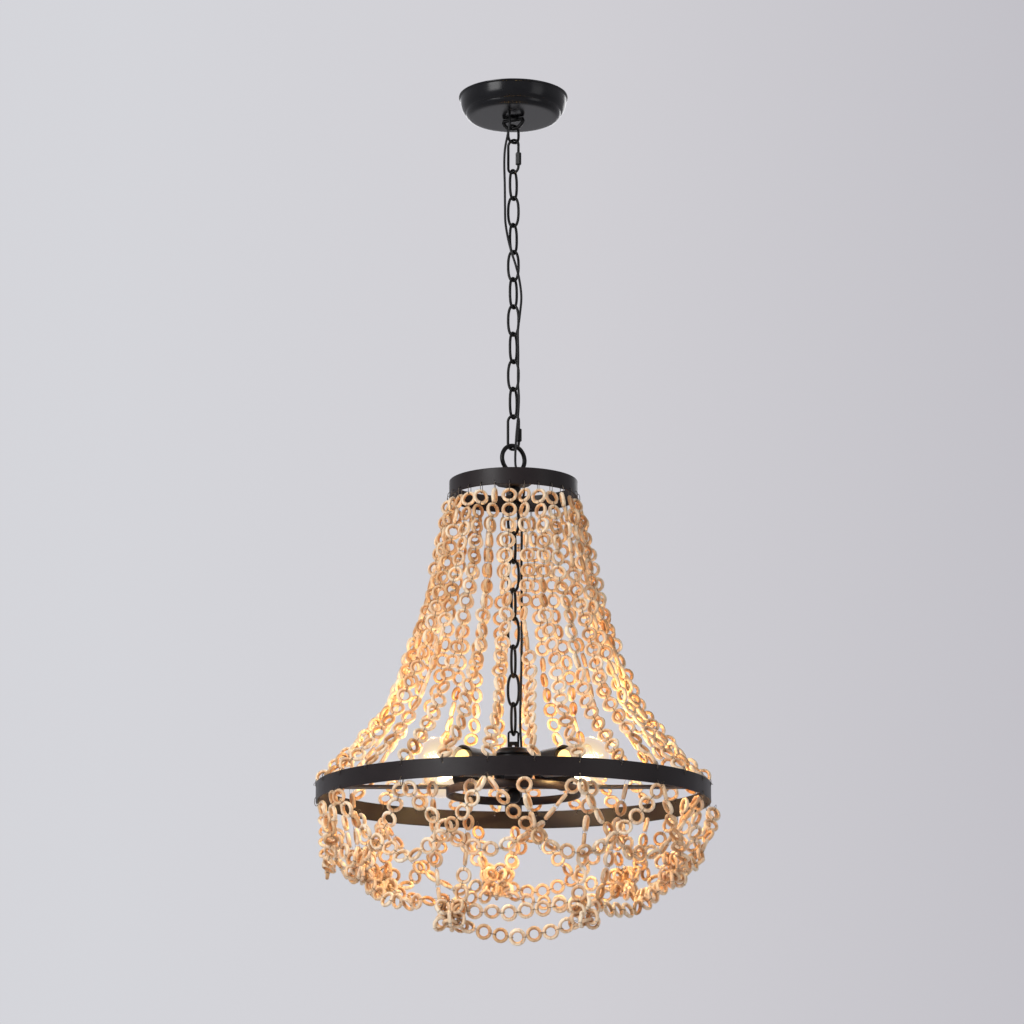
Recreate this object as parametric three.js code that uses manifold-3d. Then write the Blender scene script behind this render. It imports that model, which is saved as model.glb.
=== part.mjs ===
// A beaded chandelier that hangs from the ceiling on a short chain, in millimetres.
// The origin is the centre of the ceiling face, +Z points up and the front is -Y.
// Angles round the vertical axis are counted from the front towards +X, in degrees.

import * as THREE from "three";
import { mergeVertices } from "three/addons/utils/BufferGeometryUtils.js";
import Module from "manifold-3d";

const wasm = await Module();
wasm.setup();

// Running gap between pieces that touch or hook into each other
const gap = 0.3;

// Canopy and the hardware behind it
const canopyRadius = 64.6;
const canopyDiscRadius = 50.4;
const canopyDepth = 26.3;
const canopyWall = 1.2;
const canopyLip = 2.2;
const canopyHole = 5.4;
const canopyFacets = 28;
const canopyWallShares = [
  [0.21, 0.07],
  [0.38, 0.22],
  [0.47, 0.25],
  [0.7, 0.42],
  [0.83, 0.68],
];
const canopyRimShare = 0.87;
const canopyLipShare = 0.85;
const canopyInnerShares = [
  [0.7, 0.68],
  [0.47, 0.38],
];
const barLength = 100;
const barWidth = 16;
const barThickness = 2.2;
const barSlotLength = 16;
const barSlotWidth = 5;
const barSlotInset = 16;
const lockNutHeight = 4.5;
const lockNutRadius = 8.4;
const hexSides = 6;
const blockLength = 20;
const blockWidth = 14;
const blockHeight = 12;
const blockInset = 23;
const blockOffset = 12;
const blockScrewRadius = 2;

// Canopy loop: a D shaped loop under a threaded stem
const canopyLoopWire = 4.5;
const canopyLoopWidth = 30;
const canopyLoopDrop = 10.9;
const canopyLoopTurn = -25;
const canopyLoopSteps = 8;
const canopyStemRadius = 4.7;
const canopyStemTop = -0.6;

// Chain links, all bent from one round wire
const linkWire = 3;
const linkWidth = 15.3;
const linkPitch = 33.2;
const firstLinkWidth = 18;
const firstLinkPitch = 18.1;
const firstLinkTurn = 35;
const outerLinkCount = 9;
const outerLinkTurns = [50, -10];
const innerLinkCount = 8;
const innerLinkTurns = [0, 68];
const wireSides = 6;
const bowSteps = 4;
const ovalEndShare = 0.76;

// Quick links with a threaded sleeve over the gap in one side
const quickWire = 3.2;
const quickWidth = 17;
const quickLength = 44;
const quickOpening = 5;
const quickOpeningDrop = 7;
const quickUpperTurn = -30;
const quickLowerTurn = -25;
const sleeveLength = 15;
const sleeveDrop = 4;
const sleeveRadius = 3.5;
const sleeveBoreGap = 0.5;

// Fixture loop, its washer, the crossbar of the top hoop and the eye nut below it
const loopWire = 5.2;
const loopOuter = 36.8;
const loopTurn = 35;
const loopBossRadius = 6.2;
const loopBossHeight = 9.7;
const loopStemRadius = 3.8;
const washerRadius = 21;
const washerThickness = 2;
const crossbarWidth = 17;
const crossbarThickness = 3;
const eyeNutRadius = 7.5;
const eyeNutHeight = 8;
const eyeWire = 3;
const eyeOuter = 15;
const eyeTurn = 70;
const eyeDrop = 17;

// Hoops, each a flat band bent to a ring
const topHoopRadius = 74.1;
const topHoopHeight = 19.5;
const topHoopRise = 3.3;
const bandThickness = 2;
const innerHoopRadius = 76.1;
const innerHoopHeight = 9.5;
const bigHoopRadius = 223;
const bigHoopHeight = 20.7;
const tieHole = 2.4;
const tieHoleInset = 3.3;
const bigTieHoleInset = 5.2;
const hoopFacets = 56;
const topHoopFacets = 28;
const innerHoopFacets = 32;

// Spokes across the big hoop
const spokeWidth = 20;
const spokeThickness = 2.2;
const spokeDrop = 0.9;
const spokeHole = 4.2;

// Hub, from the chain's last loop down to the finial
const hubLoopWidth = 13.4;
const hubLoopOpening = 12.4;
const hubLoopBar = 2.4;
const hubLoopDepth = 3.8;
const hubNeckHeight = 8;
const hubNeckHole = 1.6;
const hubCapRadius = 23;
const hubCapTopRadius = 17;
const hubCapHeight = 7.4;
const hubCapShares = [
  [0.25, 0.8],
  [0.85, 0.25],
  [1, 0.15],
];
const hubRadius = 22;
const hubHeight = 34.1;
const hubFootRadius = 17.5;
const hubFootShare = 0.25;
const hubEdgeShare = 0.05;
const hubStudRadius = 3.4;
const finialRadius = 8.6;
const finialDiscRadius = 11;
const finialDiscHeight = 1.6;
const finialSinkShare = 0.85;
const finialArcAngles = [58, -90];
const finialArcSteps = 5;

// Lamp sockets and bulbs, lying radially on the diagonals
const lampCount = 4;
const lampTurn = 45;
const lampInset = 14.2;
const stemRadius = 5;
const stemBoreDepth = 5;
const socketBackPlace = 46;
const socketMouthPlace = 82;
const socketBackRadius = 13.5;
const socketRadius = 17;
const socketRimRadius = 17.8;
const socketShoulderShares = [0.5, 0.25];
const socketWall = 1.3;
const socketFloor = 10;
const bulbCapRadius = 13;
const bulbCapLength = 25;
const bulbRadius = 22.5;
const bulbPlace = 118;
const bulbContactRadius = 5;
const bulbContactShare = 0.12;
const bulbArcAngles = [50, 180];
const bulbArcSteps = 5;
const lampFacets = 12;

// Cable, drawn through holes in the canopy, the washer and the hub cap
const cableDiameter = 2.6;
const cableSides = 6;
const cableHoleGap = 0.8;
const upperCableSteps = 40;
const lowerCableSteps = 26;
const canopyCableHole = [-4.6, -13];
const washerCableHole = [12.4, -10];
const capCableHole = [9, -9];

// Bead strands, each a cord with wooden rings threaded on it edge to edge
const ringDiameter = 16.4;
const ringThickness = 5;
const cordDiameter = 1.2;
const strandCount = 28;
const strandsPerGroup = 4;
const strandTopAngle = -3.5;
const strandFootAngle = -7.1;
const strandOpenings = 5;
const openingWidthShare = 0.52;
const barShare = 0.26;
const strandRingShares = [0.035, 0.94];
const strandLeanShare = 0.337;
const strandFlarePower = 3.3;
const hiddenRunShares = [0.12, 0.88];

// Garlands below the big hoop: two sets of long swags that cross, deep swags inside them and a bottom one
const tieCount = 14;
const tiesPerSwag = 2;
const tieLean = 0.6;
const garlandSteps = 6;
const outerGarlandOffset = 5;
const innerGarlandInset = 7.5;
const outerGarlandSag = 80;
const innerGarlandSag = 76;
const garlandPower = 1.8;
const deepInset = 29;
const deepPower = 3.3;
const deepRunHeight = 8.5;
const deepRunSteps = 4;
const bottomInset = 5.6;
const bottomPower = 2.2;

// Lowest point of each deep swag as [angle, inset, drop] from the big hoop, and the sag of the bottom
// garland after it
const bundlePlaces = [
  [28, 44, 144],
  [81, 42, 88],
  [134.3, 42, 84],
  [185.7, 42, 80],
  [237.2, 42, 84],
  [288.6, 42, 88],
  [340, 43, 146],
];
const bottomSags = [3, 12, 14, 14, 12, 3, 18];

// Heights that follow from the sizes above
const discBottom = -canopyDepth;
const canopyBarCentre = discBottom - gap - canopyLoopWire / 2;
const canopyLoopBottom = canopyBarCentre - canopyLoopDrop;
const firstLinkTop = canopyLoopBottom + canopyLoopWire / 2 + linkWire / 2 + gap;
const firstLinkBottom = firstLinkTop - firstLinkPitch - linkWire - gap;
const quickSpan = quickLength - quickWire;
const quickHook = linkWire / 2 + quickWire / 2 + gap;
const quickUpperTop = firstLinkBottom + quickHook;
const quickUpperBottom = quickUpperTop - quickSpan;
const linkSpan = linkPitch + linkWire + gap;
const outerChainTop = quickUpperBottom + quickHook;
const outerChainBottom = outerChainTop - linkSpan - (outerLinkCount - 1) * linkPitch;
const quickLowerTop = outerChainBottom + quickHook;
const quickLowerBottom = quickLowerTop - quickSpan;
const loopRadius = (loopOuter - loopWire) / 2;
const loopTop = quickLowerBottom + quickWire / 2 + loopWire / 2 + gap;
const loopCentre = loopTop - loopRadius;
const loopBottom = loopCentre - loopRadius;
const washerTop = loopBottom - loopWire / 2 - loopBossHeight;
const crossbarTop = washerTop - washerThickness - gap;
const crossbarBottom = crossbarTop - crossbarThickness;
const topHoopTop = crossbarTop + topHoopRise;
const topHoopBottom = topHoopTop - topHoopHeight;
const eyeRadius = (eyeOuter - eyeWire) / 2;
const eyeCentre = crossbarBottom - eyeDrop;
const innerChainTop = eyeCentre - eyeRadius + eyeWire / 2 + linkWire / 2 + gap;
const innerChainBottom = innerChainTop - linkSpan - (innerLinkCount - 1) * linkPitch;
const hubLoopTop = innerChainBottom + linkWire / 2 + hubLoopBar + 2 * gap;
const hubNeckTop = hubLoopTop - hubLoopOpening;
const hubCapTop = hubNeckTop - hubNeckHeight - gap;
const hubTop = hubCapTop - hubCapHeight - gap;
const hubBottom = hubTop - hubHeight;
const lampHeight = hubTop - lampInset;
const spokeTop = hubBottom - gap;
const spokeBottom = spokeTop - spokeThickness;
const bigHoopTop = spokeTop + spokeDrop;
const bigHoopBottom = bigHoopTop - bigHoopHeight;
const innerHoopTop = spokeBottom - gap;
const finialTop = spokeBottom - gap;
const topHoleHeight = topHoopBottom + tieHoleInset;
const footHoleHeight = bigHoopTop - bigTieHoleInset;
const netHoleHeight = bigHoopBottom + tieHoleInset;
const tieStep = 360 / tieCount;
const strandStep = 360 / strandCount;
const facetStep = 360 / hoopFacets;
const cordClearance = cordDiameter / 2 + gap;
const topInside = (topHoopRadius - bandThickness) * Math.cos(Math.PI / topHoopFacets) - cordClearance;
const bigInside = (bigHoopRadius - bandThickness) * Math.cos(Math.PI / hoopFacets) - cordClearance;
const bigOutside = bigHoopRadius + cordClearance;
const outerGarlandRadius = bigHoopRadius + outerGarlandOffset;
const innerGarlandRadius = bigHoopRadius - innerGarlandInset;
const deepRadius = bigHoopRadius - deepInset;
const upward = new THREE.Vector3(0, 0, 1);

// The cable's route, chosen by hand: in the canopy, in front of the chain, and beside the inner chain
const upperCableRoute = [
  [-16.6, -13, -16],
  [-10.5, -13, -16.6],
  [-6, -13, -19.2],
  [...canopyCableHole, -25.7],
  [-4.3, -13, -32],
  [-4.4, -12.6, -38],
  [-6.8, -9.8, -51],
  [-9.8, -5.2, -66],
  [-10.7, -3, -84],
  [-10.1, -3.4, -110],
  [-9.8, -3.9, -138],
  [-9.3, -4.6, -157],
  [-6.6, -8.3, -176],
  [-2.5, -10.3, -194],
  [3, -10.3, -212],
  [7.1, -8.2, -229],
  [9.3, -5.3, -249],
  [7.4, -7.8, -272],
  [5.3, -9.4, -291],
  [5.7, -9.2, -320],
  [5.3, -9.4, -350],
  [6.4, -9, -372],
  [5.2, -10.4, -396],
  [3.6, -10.8, -414],
  [2.6, -9.9, -430],
  [2.2, -8.8, -441],
  [2.2, -8.4, -448],
];
const lowerCableRoute = [
  [2.2, -8.4, -448.3],
  [3.2, -8.8, -454],
  [8, -9.8, -461],
  [11.8, -10, -466.4],
  [...washerCableHole, -471],
  [12.4, -9.9, -478],
  [12, -9.5, -485],
  [10.8, -8, -494],
  [9.6, -6.4, -510],
  [9.5, -5.4, -540],
  [9.2, -5.7, -580],
  [9.5, -5.2, -620],
  [9.3, -5.3, -660],
  [8.8, -6.3, -700],
  [7.8, -7.7, -735],
  [7.8, -8.6, -758],
  [8.6, -9, -772],
  [...capCableHole, -779],
  [...capCableHole, -785],
];

// Materials, coloured after the photographed pieces
const blackSteel = new THREE.MeshStandardMaterial({ color: 0x1d1d1f, roughness: 0.45, metalness: 0.6 });
const blackBand = new THREE.MeshStandardMaterial({ color: 0x2a2a2c, roughness: 0.55, metalness: 0.4 });
const zincSteel = new THREE.MeshStandardMaterial({ color: 0x9a9c9e, roughness: 0.4, metalness: 0.9 });
const blackCable = new THREE.MeshStandardMaterial({ color: 0x101012, roughness: 0.5, metalness: 0 });
const terminalPlastic = new THREE.MeshStandardMaterial({ color: 0xe4e0d6, roughness: 0.5, metalness: 0 });
const bulbGlass = new THREE.MeshStandardMaterial({ color: 0xfff1d6, roughness: 0.2, metalness: 0 });
const paleWood = new THREE.MeshStandardMaterial({ color: 0xdcb995, roughness: 0.7, metalness: 0 });

const chandelier = new THREE.Group();

const radians = THREE.MathUtils.degToRad;

// Unit vectors at an angle round the axis: outward, and along the hoop
function outwardAt(angle) {
  return new THREE.Vector3(Math.sin(radians(angle)), -Math.cos(radians(angle)), 0);
}

function alongAt(angle) {
  return new THREE.Vector3(Math.cos(radians(angle)), Math.sin(radians(angle)), 0);
}

function placeAt(angle, radius, height) {
  return outwardAt(angle).multiplyScalar(radius).setZ(height);
}

// A closed mesh with shared corners, no flat slivers and its faces pointing out
function closedMesh(positions, faces) {
  const raw = new THREE.BufferGeometry();
  raw.setAttribute("position", new THREE.Float32BufferAttribute(positions, 3));
  raw.setIndex(faces);
  const merged = mergeVertices(raw, 1e-4);
  const place = merged.getAttribute("position");
  const index = merged.getIndex().array;
  const kept = [];
  const a = new THREE.Vector3();
  const b = new THREE.Vector3();
  const c = new THREE.Vector3();
  let volume = 0;
  for (let i = 0; i < index.length; i += 3) {
    const corners = [index[i], index[i + 1], index[i + 2]];
    if (new Set(corners).size === 3) {
      kept.push(...corners);
      a.fromBufferAttribute(place, corners[0]);
      b.fromBufferAttribute(place, corners[1]);
      c.fromBufferAttribute(place, corners[2]);
      volume += a.dot(b.cross(c));
    }
  }
  if (volume < 0) {
    for (let i = 0; i < kept.length; i += 3) {
      [kept[i + 1], kept[i + 2]] = [kept[i + 2], kept[i + 1]];
    }
  }
  merged.setIndex(kept);
  return merged;
}

function cleaned(geometry) {
  const source = geometry.index ? geometry.toNonIndexed() : geometry;
  const positions = Array.from(source.getAttribute("position").array);
  return closedMesh(positions, [...Array(positions.length / 3).keys()]);
}

// How far one outline's corners are to be counted on to lie nearest the corners of the one before
function nearestShift(here, next) {
  const distances = here.map((_, shift) =>
    here.reduce((sum, point, j) => sum + point.distanceToSquared(next[(j + shift) % next.length]), 0)
  );
  return distances.indexOf(Math.min(...distances));
}

// The skin over a row of equal outlines, closed to a ring or capped at its ends
function skin(outlines, ring) {
  const sides = outlines[0].length;
  const positions = outlines.flat().flatMap((point) => point.toArray());
  const faces = [];
  const spans = ring ? outlines.length : outlines.length - 1;
  for (let i = 0; i < spans; i++) {
    const following = (i + 1) % outlines.length;
    const shift = nearestShift(outlines[i], outlines[following]);
    for (let j = 0; j < sides; j++) {
      const here = [i * sides + j, i * sides + ((j + 1) % sides)];
      const next = [j + shift, j + 1 + shift].map((corner) => following * sides + (corner % sides));
      faces.push(here[0], next[0], next[1]);
      faces.push(here[0], next[1], here[1]);
    }
  }
  if (!ring) {
    const last = (outlines.length - 1) * sides;
    for (let j = 1; j < sides - 1; j++) {
      faces.push(0, j, j + 1);
      faces.push(last, last + j + 1, last + j);
    }
  }
  return closedMesh(positions, faces);
}

// Round wire along a path that lies in the XZ plane
function wireAlong(path, wire, sides, ring) {
  const across = new THREE.Vector3(0, 1, 0);
  const outlines = path.map((point, i) => {
    const before = path[ring ? (i + path.length - 1) % path.length : Math.max(i - 1, 0)];
    const after = path[ring ? (i + 1) % path.length : Math.min(i + 1, path.length - 1)];
    const inPlane = after.clone().sub(before).normalize().cross(across);
    return Array.from({ length: sides }, (_, j) => {
      const turn = (Math.PI * (2 * j + 1)) / sides + Math.PI / 2;
      return point
        .clone()
        .addScaledVector(across, (Math.sin(turn) * wire) / 2)
        .addScaledVector(inPlane, (Math.cos(turn) * wire) / 2);
    });
  });
  return skin(outlines, ring);
}

function solidOf(geometry) {
  const mesh = new wasm.Mesh({
    numProp: 3,
    vertProperties: new Float32Array(geometry.getAttribute("position").array),
    triVerts: new Uint32Array(geometry.getIndex().array),
  });
  return new wasm.Manifold(mesh);
}

function geometryOf(solid) {
  const mesh = solid.getMesh();
  return closedMesh(Array.from(mesh.vertProperties), Array.from(mesh.triVerts));
}

function joined(geometries) {
  const solids = geometries.map(solidOf);
  return geometryOf(solids.reduce((whole, piece) => whole.add(piece)));
}

function cut(geometry, cutters) {
  return geometryOf(cutters.map(solidOf).reduce((whole, piece) => whole.subtract(piece), solidOf(geometry)));
}

// Revolved piece about the vertical axis; the outline holds [radius, height] pairs
function turned(outline, facets) {
  const points = outline.map(([radius, height]) => new THREE.Vector2(radius, height));
  return cleaned(new THREE.LatheGeometry(points, facets).rotateX(Math.PI / 2));
}

function rod(radius, bottom, top, facets) {
  const height = top - bottom;
  const geometry = new THREE.CylinderGeometry(radius, radius, height, facets);
  return cleaned(geometry.rotateX(Math.PI / 2).translate(0, 0, bottom + height / 2));
}

function plate(shape, bottom, thickness, facets = 12) {
  const geometry = new THREE.ExtrudeGeometry(shape, {
    depth: thickness,
    bevelEnabled: false,
    curveSegments: facets,
  });
  return cleaned(geometry.translate(0, 0, bottom));
}

function block(length, width, height) {
  return cleaned(new THREE.BoxGeometry(length, width, height));
}

function polygon(radius, sides) {
  const corners = Array.from({ length: sides }, (_, i) => {
    const turn = (2 * Math.PI * i) / sides;
    return new THREE.Vector2(radius * Math.cos(turn), radius * Math.sin(turn));
  });
  return new THREE.Shape(corners);
}

function roundHole(x, y, radius) {
  const hole = new THREE.Path();
  hole.absarc(x, y, radius, 0, 2 * Math.PI, true);
  return hole;
}

function add(name, geometry, material, turn = 0) {
  const mesh = new THREE.Mesh(geometry, material);
  mesh.name = name;
  mesh.rotation.z = radians(turn);
  chandelier.add(mesh);
  return mesh;
}

// Centre line of an oblong link between two heights; the sides of its polygon touch the true round ends
function linkPath(width, top, bottom) {
  const bow = width / 2;
  const corner = bow / Math.cos(Math.PI / (2 * bowSteps));
  const bend = (start, centre) =>
    Array.from({ length: bowSteps }, (_, i) => {
      const turn = start + (Math.PI * (i + 1 / 2)) / bowSteps;
      return new THREE.Vector3(corner * Math.cos(turn), 0, centre + corner * Math.sin(turn));
    });
  return [...bend(0, top - bow), ...bend(Math.PI, bottom + bow)];
}

// Centre line of an oval link with bowed sides: two small arcs at its ends and two large ones between them,
// as a polygon whose edges touch the arcs
function ovalPath(width, top, bottom) {
  const bow = width / 2;
  const middle = (top + bottom) / 2;
  const endRadius = ovalEndShare * bow;
  const reach = (top - bottom) / 2 - endRadius;
  const sideRadius = (bow ** 2 + reach ** 2 - endRadius ** 2) / (2 * (bow - endRadius));
  const meeting = Math.asin(reach / (sideRadius - endRadius));
  const step = (Math.PI - 2 * meeting) / bowSteps;
  const corner = endRadius / Math.cos(step / 2);
  const rise = sideRadius * Math.tan(meeting / 2);
  const path = [];
  for (const way of [1, -1]) {
    path.push(new THREE.Vector3(way * bow, 0, middle - way * rise));
    path.push(new THREE.Vector3(way * bow, 0, middle + way * rise));
    for (let i = 0; i < bowSteps; i++) {
      const turn = meeting + step * (i + 1 / 2);
      path.push(
        new THREE.Vector3(way * corner * Math.cos(turn), 0, middle + way * (reach + corner * Math.sin(turn)))
      );
    }
  }
  return path;
}

function wireLink(path) {
  return wireAlong(path, linkWire, wireSides, true);
}

// Quick link: the wire stops short on both sides of the opening in its right side
function quickLink(top, bottom) {
  const path = linkPath(quickWidth - quickWire, top, bottom);
  const side = quickWidth / 2 - quickWire / 2;
  const opening = (top + bottom) / 2 - quickOpeningDrop;
  path.unshift(new THREE.Vector3(side, 0, opening + quickOpening / 2));
  path.push(new THREE.Vector3(side, 0, opening - quickOpening / 2));
  return wireAlong(path, quickWire, wireSides, false);
}

function quickSleeve(top, bottom) {
  const shape = polygon(sleeveRadius, hexSides);
  shape.holes.push(roundHole(0, 0, quickWire / 2 + sleeveBoreGap));
  const middle = (top + bottom) / 2 - sleeveDrop;
  const sleeve = plate(shape, middle - sleeveLength / 2, sleeveLength, 4);
  return sleeve.translate(quickWidth / 2 - quickWire / 2, 0, 0);
}

// Flat band bent to a hoop, with tie holes through it; a hole sits in the middle of a facet
function hoop(radius, top, height, facets, firstAngle, holes) {
  const outlines = [];
  for (let i = 0; i < facets; i++) {
    const angle = firstAngle + (360 * (i + 1 / 2)) / facets;
    outlines.push([
      placeAt(angle, radius, top),
      placeAt(angle, radius, top - height),
      placeAt(angle, radius - bandThickness, top - height),
      placeAt(angle, radius - bandThickness, top),
    ]);
  }
  const cutters = holes.map(([angle, level]) => {
    const pin = new THREE.BoxGeometry(tieHole, 4 * bandThickness, tieHole);
    pin.rotateZ(radians(angle)).translate(...placeAt(angle, radius - bandThickness / 2, level).toArray());
    return cleaned(pin);
  });
  const band = skin(outlines, true);
  return cutters.length > 0 ? cut(band, cutters) : band;
}

// A station on a strand: where it is, the direction its width lies in, and whether rings are threaded there.
// Stations that share an opening's number lie at its two ends.
function cordAt(angle, radius, height, across = alongAt(angle)) {
  return { point: placeAt(angle, radius, height), across, wide: false };
}

// Triangles between two rows of points, which may differ in number
function zipped(here, next) {
  const triangles = [];
  let i = 0;
  let j = 0;
  while (i < here.length - 1 || j < next.length - 1) {
    if (j === next.length - 1 || (i < here.length - 1 && i <= j)) {
      triangles.push(here[i], next[j], here[i + 1]);
      i += 1;
    } else {
      triangles.push(here[i], next[j], next[j + 1]);
      j += 1;
    }
  }
  return triangles;
}

// Corners of a strand's outline in order, as shares of half its width and thickness: the four outer ones, or
// eight with the edges of an opening between them
const plainCornerShares = [
  [1, 1],
  [-1, 1],
  [-1, -1],
  [1, -1],
];
const openCornerShares = [
  [1, 1],
  [openingWidthShare, 1],
  [-openingWidthShare, 1],
  [-1, 1],
  [-1, -1],
  [-openingWidthShare, -1],
  [openingWidthShare, -1],
  [1, -1],
];

// Rows of an outline's corners, one for each face of a stretch of the strand
function rowsOf(outline, open) {
  if (open) {
    const rails = [
      [0, 1, 6, 7],
      [2, 3, 4, 5],
    ];
    return rails.flatMap((rail) => rail.map((corner, i) => [corner, rail[(i + 1) % rail.length]]));
  }
  if (outline.length > plainCornerShares.length) {
    return [
      [0, 1, 2, 3],
      [3, 4],
      [4, 5, 6, 7],
      [7, 0],
    ];
  }
  return outline.map((_, i) => [i, (i + 1) % outline.length]);
}

// The wall at the end of an opening
function wallOf(outline) {
  return [2, 1, 6, 2, 6, 5].map((corner) => outline[corner]);
}

// A strand over its stations: as wide and as thick as the rings, with an open middle between the two ends of
// each opening, and plain cord between and at the ends
function strand(stations, ring) {
  const count = stations.length;
  const outlines = stations.map(({ point, across, wide, opening }, i) => {
    const before = stations[ring ? (i + count - 1) % count : Math.max(i - 1, 0)].point;
    const after = stations[ring ? (i + 1) % count : Math.min(i + 1, count - 1)].point;
    const arriving = point.clone().sub(before).normalize();
    const travel = after.clone().sub(point).normalize().add(arriving).normalize();
    const side = across.clone().addScaledVector(travel, -travel.dot(across)).normalize();
    const through = travel.clone().cross(side);
    const width = wide ? ringDiameter : cordDiameter;
    const thickness = wide ? ringThickness : cordDiameter;
    return (opening === undefined ? plainCornerShares : openCornerShares).map(([a, b]) =>
      point
        .clone()
        .addScaledVector(side, (a * width) / 2)
        .addScaledVector(through, (b * thickness) / 2)
    );
  });
  const triangles = [];
  const spans = ring ? count : count - 1;
  for (let i = 0; i < spans; i++) {
    const following = (i + 1) % count;
    const here = outlines[i];
    const next = outlines[following];
    const plain = Math.max(here.length, next.length) === plainCornerShares.length;
    const shift = plain ? nearestShift(here, next) : 0;
    const shifted = next.map((_, j) => next[(j + shift) % next.length]);
    const open = stations[i].opening !== undefined && stations[i].opening === stations[following].opening;
    const nextRows = rowsOf(next, open);
    rowsOf(here, open).forEach((row, j) => {
      const edge = row.map((corner) => here[corner]);
      const nextEdge = nextRows[j].map((corner) => shifted[corner]);
      triangles.push(...zipped(edge, nextEdge));
    });
    if (open) {
      triangles.push(...wallOf(here));
      triangles.push(...wallOf(next).reverse());
    }
  }
  if (!ring) {
    const first = outlines[0];
    const last = outlines[count - 1];
    triangles.push(first[0], first[1], first[2], first[0], first[2], first[3]);
    triangles.push(last[0], last[2], last[1], last[0], last[3], last[2]);
  }
  return closedMesh(triangles.flatMap((point) => point.toArray()), [...triangles.keys()]);
}

// A point on an upper strand, from the top hoop at 0 to the big hoop at 1
function strandPoint(index, share) {
  const topRadius = topHoopRadius + cordClearance;
  const footRadius = bigHoopRadius + cordClearance;
  const flare = strandLeanShare * share + (1 - strandLeanShare) * share ** strandFlarePower;
  const angle = strandStep * index + strandTopAngle + (strandFootAngle - strandTopAngle) * share;
  const height = topHoleHeight + (footHoleHeight - topHoleHeight) * share;
  return placeAt(angle, topRadius + (footRadius - topRadius) * flare, height);
}

// One upper strand from its hole in the top hoop to its hole in the big hoop
function upperStrand(index) {
  const top = strandStep * index + strandTopAngle;
  const foot = strandStep * index + strandFootAngle;
  const stations = [
    cordAt(top, topInside, topHoleHeight),
    cordAt(top, topHoopRadius + cordClearance, topHoleHeight),
  ];
  const [start, end] = strandRingShares;
  const addStation = (place, opening) => {
    const share = start + ((end - start) * place) / strandOpenings;
    const across = alongAt(top + (foot - top) * share);
    stations.push({ point: strandPoint(index, share), across, wide: true, opening });
  };
  addStation(0);
  for (let i = 0; i < strandOpenings; i++) {
    addStation(i + barShare / 2, i);
    addStation(i + 1 - barShare / 2, i);
  }
  addStation(strandOpenings);
  stations.push(
    cordAt(foot, bigHoopRadius - 2 * bandThickness, bigHoopTop + 3 * bandThickness),
    cordAt(foot, bigOutside, bigHoopTop + cordDiameter),
    cordAt(foot, bigOutside, footHoleHeight),
    cordAt(foot, bigInside, footHoleHeight)
  );
  return stations;
}

// Four upper strands on one cord, which passes behind the bands from each hole to the next
function strandGroup(first) {
  const stations = [];
  for (let s = 0; s < strandsPerGroup; s++) {
    const run = upperStrand(first + s);
    const rising = s % 2 === 1;
    stations.push(...(rising ? run.reverse() : run));
    if (s < strandsPerGroup - 1) {
      const from = strandStep * (first + s) + (rising ? strandTopAngle : strandFootAngle);
      const radius = (rising ? topInside : bigInside) - cordClearance;
      const height = rising ? topHoleHeight : footHoleHeight;
      for (const share of hiddenRunShares) {
        const angle = from + strandStep * share;
        stations.push(cordAt(angle, radius, height, outwardAt(angle)));
      }
    }
  }
  return strand(stations, false);
}

// A cord looped through a net hole and round the band's lower edge, arriving and leaving on the same side
function loopRoundEdge(angle, near, far, hang) {
  const below = bigHoopBottom - cordClearance;
  return [
    cordAt(angle - tieLean, hang, below - cordDiameter),
    cordAt(angle, near, netHoleHeight),
    cordAt(angle, far, netHoleHeight),
    cordAt(angle + tieLean / 2, far, below),
    cordAt(angle + tieLean, hang, below - cordDiameter),
  ];
}

// Rings along a swag: straight in plan unless its lowest point lies off the line between its ends
function swag(start, end, lowest, power) {
  const sag = lowest.clone().sub(start.clone().lerp(end, 1 / 2));
  const endShare = ringDiameter / 2 / (start.distanceTo(end) + 2 * sag.length());
  const facing = end.clone().sub(start).cross(upward).normalize();
  const pointAt = (share) =>
    start
      .clone()
      .lerp(end, share)
      .addScaledVector(sag, 1 - Math.abs(2 * share - 1) ** power);
  return Array.from({ length: garlandSteps + 1 }, (_, i) => {
    const share = endShare + ((1 - 2 * endShare) * i) / garlandSteps;
    const travel = pointAt(share + endShare / 2).sub(pointAt(share - endShare / 2));
    return { point: pointAt(share), across: travel.cross(facing), wide: true };
  });
}

// A garland of seven long swags, each from one tie to the next but one
function sideGarland(firstTie, radius, near, far, sag) {
  const stations = [];
  for (let i = firstTie; i < tieCount + firstTie; i += tiesPerSwag) {
    const from = strandFootAngle + tieStep * i;
    const start = placeAt(from, radius, bigHoopBottom - ringThickness);
    const end = placeAt(from + tiesPerSwag * tieStep, radius, bigHoopBottom - ringThickness);
    const lowest = start.clone().lerp(end, 1 / 2).setZ(bigHoopBottom - sag);
    stations.push(...loopRoundEdge(from, near, far, radius), ...swag(start, end, lowest, garlandPower));
  }
  return strand(stations, true);
}

function bundlePoint(index, inset) {
  const [angle, bundleInset, drop] = bundlePlaces[index % bundlePlaces.length];
  return placeAt(angle, bigHoopRadius - bundleInset - inset, bigHoopBottom - drop);
}

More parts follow.
